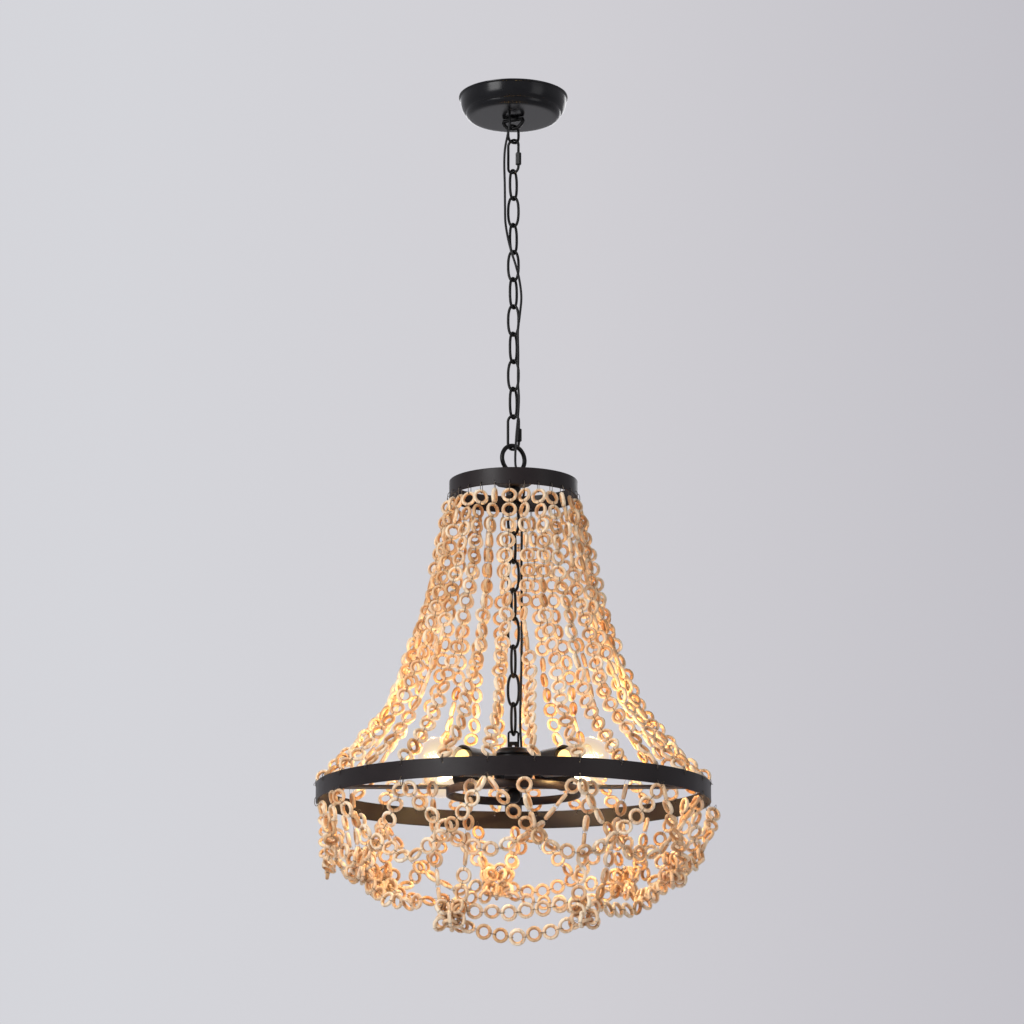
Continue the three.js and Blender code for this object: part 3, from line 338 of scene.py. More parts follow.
CORE_SEEN, CORE_POWER = 12, 680


def blank(name):
    """A new material, its tree and its shader."""
    material = bpy.data.materials.new(name)
    material.use_nodes = True
    return material, material.node_tree, material.node_tree.nodes["Principled BSDF"]


def ramp(tree, value, stops):
    """The colour of a ramp at a value."""
    node = add(tree, "ShaderNodeValToRGB", {"Fac": value})
    elements = node.color_ramp.elements
    elements[0].position, elements[0].color = stops[0][0], (*stops[0][1], 1)
    elements[1].position, elements[1].color = stops[-1][0], (*stops[-1][1], 1)
    for position, colour in stops[1:-1]:
        elements.new(position).color = (*colour, 1)
    return node.outputs["Color"]


def blended(tree, blend, factor, first, second):
    """One colour laid over another."""
    sockets = {"Factor": factor, "A": first, "B": second}
    return add(tree, "ShaderNodeMix", sockets, data_type="RGBA", blend_type=blend).outputs["Result"]


def map_range(tree, value, low, high, low_result=0.0, high_result=1.0):
    sockets = {"Value": value, "From Min": low, "From Max": high, "To Min": low_result, "To Max": high_result}
    return add(tree, "ShaderNodeMapRange", sockets).outputs["Result"]


def raised(tree, height, strength, distance):
    """The normal of a bump."""
    sockets = {"Height": height, "Strength": strength, "Distance": distance}
    return add(tree, "ShaderNodeBump", sockets).outputs["Normal"]


def speckle(tree, **values):
    """The speckle group's outputs, with its inputs set by name."""
    node = add(tree, "ShaderNodeGroup", node_tree=SPECKLE)
    feed(tree, node, values)
    return node.outputs


def attribute(tree, name):
    return add(tree, "ShaderNodeAttribute", attribute_name=name).outputs["Fac"]


def speckled(name, dark, light, rough, metallic=0.0, grain=900.0, bump=0.12, specular=0.5):
    """A painted, plated or moulded finish with a speckled colour, roughness and surface."""
    material, tree, shader = blank(name)
    pattern = speckle(tree, Grain=grain)
    feed(tree, shader, {
        "Base Color": ramp(tree, pattern["Mask"], [(0.3, dark), (0.7, light)]),
        "Roughness": map_range(tree, pattern["Mask"], 0.3, 0.7, *rough),
        "Normal": raised(tree, pattern["Height"], bump, 0.1 * MM),
        "Metallic": metallic, "Specular IOR Level": specular})
    return material


def ring_wood():
    """Unvarnished pale wood: each ring has its own tone, with streaks, painted shade inside its hole, and is
    darker at its wires.
    """
    material, tree, shader = blank("ring_wood")
    tone = attribute(tree, "ring_tone")
    grain = add(tree, "ShaderNodeGroup", node_tree=GRAIN)
    feed(tree, grain, {"Tone": tone})
    streaks = ramp(tree, grain.outputs["Streaks"], WOOD_STREAKS)
    grained = blended(tree, "MULTIPLY", 0.7, ramp(tree, tone, WOOD_TONES), streaks)
    # Painted shade: the wall inside each ring's hole is darkened towards a warm brown
    inside = map_range(tree, attribute(tree, "ring_wall"), 0.35, -0.8)
    shaded = blended(tree, "MULTIPLY", inside, grained, WOOD_HOLE_SHADE)
    # Darker towards a deep brown where the wires go through each ring
    holes = map_range(tree, attribute(tree, "ring_end"), 0.975, 0.992, 0.0, 0.55)
    feed(tree, shader, {
        "Base Color": blended(tree, "MIX", holes, shaded, WOOD_AT_WIRES),
        "Normal": raised(tree, grain.outputs["Height"], 0.3, 0.3 * MM), "Roughness": 0.62})
    return material


def lit_glass():
    """Bulb glass with a warm glow: densest in front of the core, thin round it, and clear to all but the eye."""
    material, tree, shader = blank("lit_glass")
    pattern = speckle(tree, Grain=400, Drift=18)
    facing = add(tree, "ShaderNodeLayerWeight", {"Blend": 0.35}).outputs["Facing"]
    glow = ramp(tree, facing, GLASS_GLOW)
    clouds = ramp(tree, pattern["Mask"], GLASS_CLOUDS)
    density = ramp(tree, facing, [(position, (share,) * 3) for position, share in GLASS_DENSITY])
    seen = add(tree, "ShaderNodeLightPath").outputs["Is Camera Ray"]
    feed(tree, shader, {
        "Emission Color": blended(tree, "MULTIPLY", 1, glow, clouds), "Emission Strength": 0.95,
        "Alpha": maths(tree, "MULTIPLY", density, seen),
        "Base Color": GLASS_BODY, "Specular IOR Level": 0.15, "Roughness": 0.2})
    return material


def glowing_core():
    """The bulb's lit core: white-hot to look at, with a deep warm light for what is near."""
    material, tree, shader = blank("glowing_core")
    glow = ramp(tree, speckle(tree, Grain=700)["Mask"], CORE_GLOW)
    feed(tree, shader, {"Emission Color": glow, "Base Color": glow, "Emission Strength": CORE_SEEN,
                        "Roughness": 0.4})
    lamp = add(tree, "ShaderNodeEmission", {"Color": CORE_LIGHT, "Strength": CORE_POWER})
    seen = add(tree, "ShaderNodeLightPath").outputs["Is Camera Ray"]
    mixed = add(tree, "ShaderNodeMixShader", {"Fac": seen, 1: lamp.outputs["Emission"], 2: shader.outputs["BSDF"]})
    feed(tree, tree.nodes["Material Output"], {"Surface": mixed.outputs["Shader"]})
    return material


SATIN_BLACK = speckled("satin_black_paint", (0.0030, 0.0028, 0.0030), (0.0070, 0.0065, 0.0070), (0.26, 0.40),
                       bump=0.18, specular=0.14)
CANOPY_BLACK = speckled("canopy_gloss_paint", (0.0035, 0.0035, 0.0045), (0.008, 0.008, 0.0095), (0.17, 0.27),
                        bump=0.10, specular=0.17)
# Dark paint, with a red-brown tint that is painted warm light from the bulbs
WARM_LIT_BAND_BLACK = speckled("dark_band_paint_warm_lit", (0.0088, 0.0062, 0.0066), (0.0170, 0.0120, 0.0126), (0.36, 0.50),
                      bump=0.22, specular=0.17)
ZINC = speckled("zinc_plate", (0.50, 0.51, 0.53), (0.66, 0.67, 0.68), (0.28, 0.42), 1.0, grain=500, bump=0.08)
PALE_PLASTIC = speckled("terminal_plastic", (0.76, 0.74, 0.68), (0.84, 0.82, 0.77), (0.42, 0.55), bump=0.06)
CABLE_SHEATH = speckled("cable_sheath", (0.004, 0.004, 0.0045), (0.009, 0.009, 0.010), (0.32, 0.45),
                        grain=1500, specular=0.17)
CAP_PLASTIC = speckled("bulb_cap", (0.30, 0.235, 0.13), (0.38, 0.30, 0.17), (0.35, 0.5), bump=0.05)
RING_WOOD = ring_wood()
LIT_GLASS = lit_glass()
GLOWING_CORE = glowing_core()
TIE_WIRE = speckled("tie_wire", (0.05, 0.04, 0.032), (0.12, 0.095, 0.075), (0.28, 0.42), 0.85, grain=1800)


# Geometry Nodes: strands of wooden rings, and loops of wire

GEOMETRY = "NodeSocketGeometry"
# Flats round a ring and round its wood, and along a wire link and round its wire
RING_FLATS, WOOD_FLATS, LINK_FLATS, THREAD_FLATS = 14, 6, 8, 3
SMALLEST_RING, LARGEST_RING, LINK_FLATNESS = 0.95, 1.04, 0.54


def stored(tree, geometry, name, value, domain="POINT"):
    """Stores a number on each point or instance."""
    sockets = {"Geometry": geometry, "Name": name, "Value": value}
    node = add(tree, "GeometryNodeStoreNamedAttribute", sockets, data_type="FLOAT", domain=domain)
    return node.outputs["Geometry"]


def read(tree, name, kind):
    return add(tree, "GeometryNodeInputNamedAttribute", {"Name": name}, data_type=kind).outputs["Attribute"]


def circle(tree, sides, radius):
    return add(tree, "GeometryNodeCurvePrimitiveCircle", {"Resolution": sides, "Radius": radius}).outputs["Curve"]


def tube(tree, path, section):
    return add(tree, "GeometryNodeCurveToMesh", {"Curve": path, "Profile Curve": section}).outputs["Mesh"]


def placed(tree, points, piece, **sockets):
    """Copies of a piece on the points."""
    sockets = {"Points": points, "Instance": piece, **sockets}
    return add(tree, "GeometryNodeInstanceOnPoints", sockets).outputs["Instances"]


def made_real(tree, instances, material):
    """Instances turned into a mesh of one material."""
    real = add(tree, "GeometryNodeRealizeInstances", {"Geometry": instances}).outputs["Geometry"]
    return add(tree, "GeometryNodeSetMaterial", {"Geometry": real, "Material": material}).outputs["Geometry"]


def shade_smooth(tree, geometry):
    return add(tree, "GeometryNodeSetShadeSmooth", {"Geometry": geometry}).outputs["Geometry"]


def marked_ring(tree, given):
    """One ring. ring_end nears 1 where its wires go through, and ring_wall runs from -1 inside to 1 outside."""
    wood = circle(tree, WOOD_FLATS, given["Wood Radius"])
    ring = tube(tree, circle(tree, RING_FLATS, given["Ring Radius"]), wood)
    deepen = add(tree, "ShaderNodeCombineXYZ", {"X": 1, "Y": 1, "Z": given["Wood Depth"]}).outputs["Vector"]
    shaped = add(tree, "GeometryNodeTransform", {"Geometry": ring, "Scale": deepen}).outputs["Geometry"]
    where = add(tree, "GeometryNodeInputPosition").outputs["Position"]
    parts = add(tree, "ShaderNodeSeparateXYZ", {"Vector": where}).outputs
    flat = add(tree, "ShaderNodeCombineXYZ", {"X": parts["X"], "Y": parts["Y"]}).outputs["Vector"]
    reach = add(tree, "ShaderNodeVectorMath", {0: flat}, operation="LENGTH").outputs["Value"]
    end = maths(tree, "DIVIDE", maths(tree, "ABSOLUTE", parts["X"]), reach)
    wall = maths(tree, "DIVIDE", maths(tree, "SUBTRACT", reach, given["Ring Radius"]), given["Wood Radius"])
    return stored(tree, stored(tree, shaped, "ring_end", end), "ring_wall", wall)


def wire_link(tree, given):
    """The flattened loop of wire between two rings."""
    thread = circle(tree, THREAD_FLATS, given["Thread Radius"])
    wire = tube(tree, circle(tree, LINK_FLATS, given["Knot Length"]), thread)
    sockets = {"Geometry": wire, "Scale": (1, LINK_FLATNESS, 1), "Rotation": (math.pi / 2, 0, 0)}
    return add(tree, "GeometryNodeTransform", sockets).outputs["Geometry"]


def ring_strand_tree():
    """Puts a wooden ring on each point and a loop of wire between neighbours."""
    tree, given, result = new_group("GeometryNodeTree", "ring_strand", [
        ("Geometry", GEOMETRY, None),
        ("Ring Radius", "NodeSocketFloat", 0.0071), ("Wood Radius", "NodeSocketFloat", 0.00205),
        ("Wood Depth", "NodeSocketFloat", 1.1), ("Thread Radius", "NodeSocketFloat", 0.0003),
        ("Knot Length", "NodeSocketFloat", 0.0047), ("Reach", "NodeSocketFloat", 0.0095),
        ("Seed", "NodeSocketInt", 1),
        ("Wood", "NodeSocketMaterial", None), ("Thread", "NodeSocketMaterial", None)], [("Geometry", GEOMETRY)])
    direction = read(tree, "along", "FLOAT_VECTOR")
    aligned = add(tree, "FunctionNodeAlignRotationToVector", {"Vector": direction}, axis="X").outputs["Rotation"]
    about = add(tree, "FunctionNodeAxisAngleToRotation", {"Axis": (1, 0, 0), "Angle": read(tree, "spin", "FLOAT")})
    turned = add(tree, "FunctionNodeRotateRotation",
                 {"Rotation": aligned, "Rotate By": about.outputs["Rotation"]}, rotation_space="LOCAL")
    turned = turned.outputs["Rotation"]
    sizes = {2: SMALLEST_RING, 3: LARGEST_RING, "Seed": given["Seed"]}
    size = add(tree, "FunctionNodeRandomValue", sizes, data_type="FLOAT")
    tone = add(tree, "FunctionNodeRandomValue", {"Seed": given["Seed"]}, data_type="FLOAT")
    rings = placed(tree, given["Geometry"], marked_ring(tree, given), Rotation=turned, Scale=size.outputs[1])
    toned = stored(tree, rings, "ring_tone", tone.outputs[1], "INSTANCE")

    forward = add(tree, "ShaderNodeVectorMath", {0: direction, "Scale": given["Reach"]}, operation="SCALE")
    between = add(tree, "GeometryNodeSetPosition",
                  {"Geometry": given["Geometry"], "Offset": forward.outputs["Vector"]}).outputs["Geometry"]
    wires = placed(tree, between, wire_link(tree, given), Rotation=turned)

    both = add(tree, "GeometryNodeJoinGeometry", {"Geometry": made_real(tree, wires, given["Thread"])})
    feed(tree, both, {"Geometry": made_real(tree, toned, given["Wood"])})
    feed(tree, result, {"Geometry": shade_smooth(tree, both.outputs["Geometry"])})
    return tree


def wire_loop_tree():
    """Sets a closed oval loop of wire on each point, upright and turned about the vertical by the point's turn."""
    tree, given, result = new_group("GeometryNodeTree", "wire_loop", [
        ("Geometry", GEOMETRY, None),
        ("Half Width", "NodeSocketFloat", 0.00615), ("Half Length", "NodeSocketFloat", 0.01825),
        ("Squareness", "NodeSocketFloat", 0.85), ("Wire Radius", "NodeSocketFloat", 0.0015),
        ("Steps", "NodeSocketInt", 44), ("Sides", "NodeSocketInt", 12),
        ("Metal", "NodeSocketMaterial", None)], [("Geometry", GEOMETRY)])
    where = add(tree, "GeometryNodeInputPosition").outputs["Position"]
    parts = add(tree, "ShaderNodeSeparateXYZ", {"Vector": where}).outputs
    oval = add(tree, "ShaderNodeCombineXYZ")
    for source, half, target in (("X", "Half Width", "X"), ("Y", "Half Length", "Z")):
        sign = maths(tree, "SIGN", parts[source])
        size = maths(tree, "POWER", maths(tree, "ABSOLUTE", parts[source]), given["Squareness"])
        share = maths(tree, "MULTIPLY", sign, size)
        feed(tree, oval, {target: maths(tree, "MULTIPLY", share, given[half])})
    bent = add(tree, "GeometryNodeSetPosition",
               {"Geometry": circle(tree, given["Steps"], 1), "Position": oval.outputs["Vector"]})
    wire = tube(tree, bent.outputs["Geometry"], circle(tree, given["Sides"], given["Wire Radius"]))
    turning = add(tree, "ShaderNodeCombineXYZ", {"Z": read(tree, "turn", "FLOAT")}).outputs["Vector"]
    loops = placed(tree, given["Geometry"], wire, Rotation=turning)
    feed(tree, result, {"Geometry": shade_smooth(tree, made_real(tree, loops, given["Metal"]))})
    return tree


RING_STRAND = ring_strand_tree()
WIRE_LOOP = wire_loop_tree()


def from_tree(name, tree, source, values, body, *nodes, slot):
    """Runs a tree on a mesh with these inputs, and keeps its result as a plain piece."""
    maker = bpy.data.objects.new(name + "_maker", source)
    bpy.context.collection.objects.link(maker)
    modifier = maker.modifiers.new("tree", "NODES")
    modifier.node_group = tree
    sockets = {item.name: item.identifier for item in tree.interface.items_tree
               if item.item_type == "SOCKET" and item.in_out == "INPUT"}
    for label, value in values.items():
        modifier[sockets[label]] = value
    mesh = evaluated_mesh(maker)
    mesh.name = name
    return finished(name, mesh, None, body, *nodes, slot=slot, smooth=False)


def black_piece(name, parts, body, node, sharp=SHARP, smooth=True):
    """A piece of satin black metal."""
    finished(name, mesh_of(name, parts, sharp), SATIN_BLACK, body, node, slot="satin_black", smooth=smooth)


# Canopy and its loop: (radius, height) from the ceiling down the outside and back up the inside
CANOPY_WALL = [(64.6, -0.3), (64.6, -1.6), (64.2, -2.1), (63.0, -2.6), (62.7, -5), (62.3, -9), (61.4, -13),
               (60.0, -16.4), (58.4, -18.6), (57.0, -19.6), (56.4, -19.7), (56.2, -20.2), (56.0, -21.6),
               (55.2, -23.2), (53.6, -24.8), (51.6, -25.9), (50.2, -26.25), (46.0, -26.3), (20.0, -26.3),
               (8.0, -26.3), (5.4, -26.2), (5.4, -25.1), (46.0, -25.1), (50.8, -24.6), (54.4, -21.4),
               (55.6, -18.8), (59.0, -15.6), (61.2, -8), (62.0, -0.3)]
STEM = [(0, -0.8), (4.1, -0.8), (4.6, -1.4), (4.6, -26.4), (6.6, -26.7), (6.6, -29.2), (0, -29.6)]
STAPLE_TURN, STAPLE_HALF, STAPLE_TOP, STAPLE_DROP = -25, 12.75, -28.85, 10.9
STAPLE_BAR = (12.2, 8, 4, 0, -4, -8, -12.2)
STAPLE_STEPS, STAPLE_WIRE = 16, 2.25


def canopy():
    mesh = mesh_of("canopy_shell", [lathe(closed(CANOPY_WALL), segments=128)], sharp=50)
    finished("canopy_shell", mesh, CANOPY_BLACK, "ceiling_mount", "canopy", slot="satin_black")


def canopy_loop():
    """A loop with a straight top and a round bottom under the canopy, on its stem."""
    direction = along_hoop(STAPLE_TURN)
    path = [direction * x + UP * STAPLE_TOP for x in STAPLE_BAR]
    for i in range(1, STAPLE_STEPS):
        angle = math.pi + math.pi * i / STAPLE_STEPS
        path.append(direction * STAPLE_HALF * math.cos(angle)
                    + UP * (STAPLE_TOP + STAPLE_DROP * math.sin(angle)))
    wire = swept(path, STAPLE_WIRE, sides=16, ring=True)
    black_piece("canopy_loop_wire", [wire, lathe(STEM, segments=32)], "ceiling_mount", "canopy_loop")


canopy()
canopy_loop()

# Chain: heights are of the wire's centre line, and SPAN is from a link's top to its bottom
FIRST_WIDTH, FIRST_TOP, FIRST_BOTTOM, FIRST_TURN, FIRST_SQUARENESS = 18, -35.7, -57.1, 35, 0.75
LINK_WIDTH, LINK_WIRE, LINK_RADIUS, LINK_SQUARENESS = 15.3, 3, 1.62, 0.85
OUTER_TURNS, INNER_TURNS = (50, -10), (0, 68)
CHAIN_TOP, INNER_TOP, PITCH, SPAN = -91.1, -495.0, 33.2, 36.5
CHAIN_COUNT, INNER_COUNT = 9, 8
QUICK_TOP, QUICK_BOTTOM = -53.7, -94.5
LOWER_TOP, LOWER_BOTTOM = -389.8, -430.6
QUICK_WIDTH, QUICK_RADIUS = 13.8, 1.6
GAP_DROP, GAP_HALF, NUT_DROP = 7, 2.5, 4
NUT_WALL = [(2.1, -7.5), (3.0, -7.5), (3.5, -6.8), (3.5, 6.8), (3.0, 7.5), (2.1, 7.5)]


def wire_loops(name, places, width, length, squareness, radius, metal, *nodes, body="shade", slot, **values):
    """Loops of wire with these half sizes, at (centre, turn) places."""
    points = points_mesh(name, [centre for centre, _ in places],
                         turn=("FLOAT", "value", [math.radians(turn) for _, turn in places]))
    values = {"Half Width": width * MM, "Half Length": length * MM, "Squareness": squareness,
              "Wire Radius": radius * MM, "Metal": metal, **values}
    from_tree(name, WIRE_LOOP, points, values, body, *nodes, slot=slot)


def link(name, body, node, width, top, bottom, turn, squareness=LINK_SQUARENESS):
    wire_loops(name, [(UP * ((top + bottom) / 2), turn)], (width - LINK_WIRE) / 2, (top - bottom) / 2, squareness,
               LINK_RADIUS, SATIN_BLACK, node, body=body, slot="satin_black")


def chain():
    link("first_link_wire", "link_01", "chain_link_01", FIRST_WIDTH, FIRST_TOP, FIRST_BOTTOM, FIRST_TURN,
         FIRST_SQUARENESS)
    for i in range(CHAIN_COUNT):
        top = CHAIN_TOP - PITCH * i
        number = f"{i + 2:02d}"
        link(f"link_{number}_wire", f"link_{number}", f"chain_link_{number}", LINK_WIDTH, top, top - SPAN,
             OUTER_TURNS[i % 2])
    for i in range(INNER_COUNT):
        top = INNER_TOP - PITCH * i
        link(f"inner_link_{i + 1}_wire", "shade", f"inner_link_{i + 1:02d}", LINK_WIDTH, top, top - SPAN,
             INNER_TURNS[i % 2])


def quick_link(place_name, letter, top, bottom, turn):
    """Open wire link with threaded ends, and its hexagonal nut."""
    node = f"quick_link_{place_name}"
    side = along_hoop(turn) * (QUICK_WIDTH / 2)
    gap = (top + bottom) / 2 - GAP_DROP
    path = loop_path(QUICK_WIDTH, top, bottom, turn)
    path = [side + UP * (gap + GAP_HALF)] + path + [side + UP * (gap - GAP_HALF)]
    black_piece(node + "_wire", [swept(path, QUICK_RADIUS, sides=14)], f"quick_link_{letter}", node)
    nut = lathe(closed(NUT_WALL), segments=6, centre=side + UP * ((top + bottom) / 2 - NUT_DROP))
    black_piece(node + "_nut_hex", [nut], f"quick_nut_{letter}", node + "_nut", sharp=20, smooth=False)


chain()
quick_link("upper", "a", QUICK_TOP, QUICK_BOTTOM, -30)
quick_link("lower", "b", LOWER_TOP, LOWER_BOTTOM, -25)

# Cable beside the chain, cut into stretches, each across the hinge between two neighbouring pieces of the chain
UPPER_ROUTE = [(-16.6, -13, -16), (-10.5, -13, -16.6), (-6, -13, -19.2), (-4.6, -13, -25.7), (-4.3, -13, -32),
               (-4.4, -12.6, -38), (-6.8, -9.8, -51), (-9.8, -5.2, -66), (-10.7, -3, -84), (-10.1, -3.4, -110),
               (-9.8, -3.9, -138), (-9.3, -4.6, -157), (-6.6, -8.3, -176), (-2.5, -10.3, -194), (3, -10.3, -212),
               (7.1, -8.2, -229), (9.3, -5.3, -249), (7.4, -7.8, -272), (5.3, -9.4, -291), (5.7, -9.2, -320),
               (5.3, -9.4, -350), (6.4, -9, -372), (5.2, -10.4, -396), (3.6, -10.8, -414), (2.6, -9.9, -430),
               (2.2, -8.8, -441), (2.2, -8.4, -448)]
LOWER_ROUTE = [(2.2, -8.4, -448.3), (3.2, -8.8, -454), (8, -9.8, -461), (11.8, -10, -466.4), (12.4, -10, -471),
               (12.4, -9.9, -478), (12, -9.5, -485), (10.8, -8, -494), (9.6, -6.4, -510), (9.5, -5.4, -540),
               (9.2, -5.7, -580), (9.5, -5.2, -620), (9.3, -5.3, -660), (8.8, -6.3, -700), (7.8, -7.7, -735),
               (7.8, -8.6, -758), (8.6, -9, -772), (9, -9, -779), (9, -9, -785)]
CABLE_RADIUS, CABLE_SIDES = 1.4, 12
FIRST_HINGE, ROUTE_END = -39.75, -475.0
OVER_ALL, UNDER_ALL = 10.0, -500.0


def chain_stations():
    """The bodies down the chain, each with the height of the hinge that it hangs from."""
    stations = [("ceiling_mount", 0.0), ("link_01", FIRST_HINGE), ("quick_link_a", FIRST_BOTTOM),
                ("link_02", QUICK_BOTTOM)]
    lowest = CHAIN_COUNT - 1
    stations += [(f"link_{i + 3:02d}", CHAIN_TOP - PITCH * i - SPAN) for i in range(lowest)]
    stations += [("quick_link_b", CHAIN_TOP - PITCH * lowest - SPAN), ("shade", LOWER_BOTTOM), ("end", ROUTE_END)]
    return stations


def cut_at(path, high, low):
    """The stretch of a falling path between two heights, cut exactly there."""
    piece = []
    for a, b in zip(path, path[1:]):
        for level in (high, low):
            if a.z > level > b.z:
                piece.append(a.lerp(b, (a.z - level) / (a.z - b.z)))
        if high >= b.z >= low:
            piece.append(b)
    return piece


def upper_cable():
    curve = smooth_curve([Vector(p) for p in UPPER_ROUTE], per_span=6)
    stations = chain_stations()
    middles = [(a[1] + b[1]) / 2 for a, b in zip(stations, stations[1:])]
    for i in range(1, len(stations) - 1):
        above, (here, hinge) = stations[i - 1][0], stations[i]
        high = OVER_ALL if i == 1 else middles[i - 1]
        low = UNDER_ALL if here == "shade" else middles[i]
        stretch = cut_at(curve, high, low)
        if i == 1:
            stretch = [curve[0]] + stretch
        name = f"cable_stretch_{i:02d}"
        mesh = mesh_of(name, [swept(stretch, CABLE_RADIUS, CABLE_SIDES)])
        obj = finished(name, mesh, CABLE_SHEATH, None)
        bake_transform(obj)
        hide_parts("power_cable_upper")


def lower_cable():
    curve = smooth_curve([Vector(p) for p in LOWER_ROUTE], per_span=5)
    mesh = mesh_of("inner_cable", [swept(curve, CABLE_RADIUS, CABLE_SIDES)])
    finished("inner_cable", mesh, CABLE_SHEATH, "shade", "power_cable_lower", slot="black_cable")


upper_cable()
lower_cable()

# Hoops. FACET is the angle of one flat of the big hoop's solid.
TOP_R, TOP_HIGH, TOP_LOW = 74.1, -469.0, -488.5
INNER_R, INNER_HIGH, INNER_LOW = 76.1, -824.7, -834.2
BIG_R, BIG_HIGH, BIG_LOW = 223.0, -821.3, -842.0
BAND_WALL, BAND_EDGE = 2, 0.4
STRANDS, TOP_ANGLE, FOOT_ANGLE = 28, -3.5, -7.1
TIES = 14
STRAND_STEP, TIE_STEP, FACET = 360 / STRANDS, 360 / TIES, 360 / 56
TOP_HOLE, FOOT_HOLE, NET_HOLE = TOP_LOW + 3.3, BIG_HIGH - 5.2, BIG_LOW + 3.3
HOLE_RADIUS, HOLE_SIDES, DRILL_PAST, DRILL_DEPTH = 0.85, 10, 3, 5


def drilled(name, mesh, radius, holes):
    """A band with round holes bored through it at (angle, height) places."""
    drill = [(0, radius + DRILL_PAST), (HOLE_RADIUS, radius + DRILL_PAST), (HOLE_RADIUS, radius - DRILL_DEPTH),
             (0, radius - DRILL_DEPTH)]
    drills = [lathe(drill, HOLE_SIDES, axis=outward(angle), centre=UP * height) for angle, height in holes]
    solid = bpy.data.objects.new(name + "_blank", mesh)
    tool = bpy.data.objects.new(name + "_drills", mesh_of(name + "_drills", drills))
    for obj in (solid, tool):
        bpy.context.collection.objects.link(obj)
    drilling = solid.modifiers.new("drilling", "BOOLEAN")
    drilling.operation = "DIFFERENCE"
    drilling.solver = "EXACT"
    drilling.object = tool
    bored = evaluated_mesh(solid)
    bpy.data.objects.remove(tool)
    bored.materials.clear()
    mark_sharp(bored, sharp=35)
    return bored


def band(name, radius, high, low, segments, node, holes):
    """A flat band bent to a hoop, with softened edges and round tie holes."""
    inner = radius - BAND_WALL
    profile = [(radius, high - BAND_EDGE), (radius - BAND_EDGE, high), (inner + BAND_EDGE, high),
               (inner, high - BAND_EDGE), (inner, low + BAND_EDGE), (inner + BAND_EDGE, low),
               (radius - BAND_EDGE, low), (radius, low + BAND_EDGE)]
    mesh = mesh_of(name, [lathe(closed(profile), segments)], sharp=60)
    if holes:
        mesh = drilled(name, mesh, radius, holes)
    finished(name, mesh, WARM_LIT_BAND_BLACK, "shade", node, slot="dark_band")


def hoops():
    top_holes = [(TOP_ANGLE + STRAND_STEP * i, TOP_HOLE) for i in range(STRANDS)]
    foot_holes = [(FOOT_ANGLE + STRAND_STEP * i, FOOT_HOLE) for i in range(STRANDS)]
    net_holes = [(FOOT_ANGLE + TIE_STEP * i, NET_HOLE) for i in range(TIES)]
    band("top_hoop_band", TOP_R, TOP_HIGH, TOP_LOW, 112, "top_hoop", top_holes)
    band("big_hoop_band", BIG_R, BIG_HIGH, BIG_LOW, 168, "big_hoop", foot_holes + net_holes)
    band("inner_hoop_band", INNER_R, INNER_HIGH, INNER_LOW, 112, "inner_hoop", [])


hoops()

# Fixture loop, eye nut, hub and finial: profiles are (radius, height), loops (radius, centre height, turn)
BOSS = [(0, -458.5), (5.0, -459.0), (6.2, -460.4), (6.2, -468.4), (5.4, -469.7), (3.8, -469.7), (3.8, -483.0),
        (0, -483.0)]
EYE_HEX = [(0, -475.6), (6.8, -475.6), (7.5, -476.2), (7.5, -483.0), (6.8, -483.6), (0, -483.6)]
EYE_NECK = [(0, -482.6), (3.4, -482.6), (2.6, -484.8), (2.2, -486.4), (0, -486.6)]
HUB_CAP = [(0, -780.1), (16.4, -780.1), (17.4, -780.6), (18.6, -782.0), (21.6, -785.2), (22.9, -786.2),
           (23, -787.2), (22.6, -787.5), (0, -787.5)]
HUB_BODY = [(0, -787.8), (21.0, -787.8), (22.0, -788.8), (22.0, -811.6), (21.4, -812.8), (17.9, -816.6),
            (17.5, -817.4), (17.5, -821.9), (0, -821.9)]
FINIAL_COLLAR = [(0, -824.7), (10.6, -824.7), (11, -825.0), (11, -826.0), (10.4, -826.4), (4.6, -826.7)]
FINIAL_RADIUS, FINIAL_CENTRE, FINIAL_START, FINIAL_STEPS = 8.6, -833.6, 62, 12
FIXTURE_LOOP, FIXTURE_WIRE = (15.8, -441.9, 35), 2.6
EYE_LOOP, EYE_WIRE = (6.0, -492.3, 70), 1.5


def hub_and_loops():
    ring = swept(round_path(*FIXTURE_LOOP, steps=40), FIXTURE_WIRE, sides=18, ring=True)
    black_piece("fixture_loop_ring", [ring, lathe(BOSS, segments=40)], "shade", "fixture_loop")
    nut = lathe(EYE_HEX, segments=6)
    neck = lathe(EYE_NECK, segments=24)
    eye = swept(round_path(*EYE_LOOP, steps=28), EYE_WIRE, sides=12, ring=True)
    black_piece("eye_nut_body", [nut, neck, eye], "shade", "inner_eye_nut", sharp=30)
    black_piece("hub_cap_disc", [lathe(HUB_CAP, segments=56)], "shade", "hub_cap")
    black_piece("hub_barrel", [lathe(HUB_BODY, segments=56)], "shade", "hub_body")
    ball = list(FINIAL_COLLAR)
    for i in range(FINIAL_STEPS + 1):
        turn = math.radians(FINIAL_START - (FINIAL_START + 90) * i / FINIAL_STEPS)
        ball.append((max(FINIAL_RADIUS * math.cos(turn), 0), FINIAL_CENTRE + FINIAL_RADIUS * math.sin(turn)))
    ball[-1] = (0, ball[-1][1])
    black_piece("finial_ball", [lathe(ball, segments=40)], "shade", "hub_finial")


hub_and_loops()

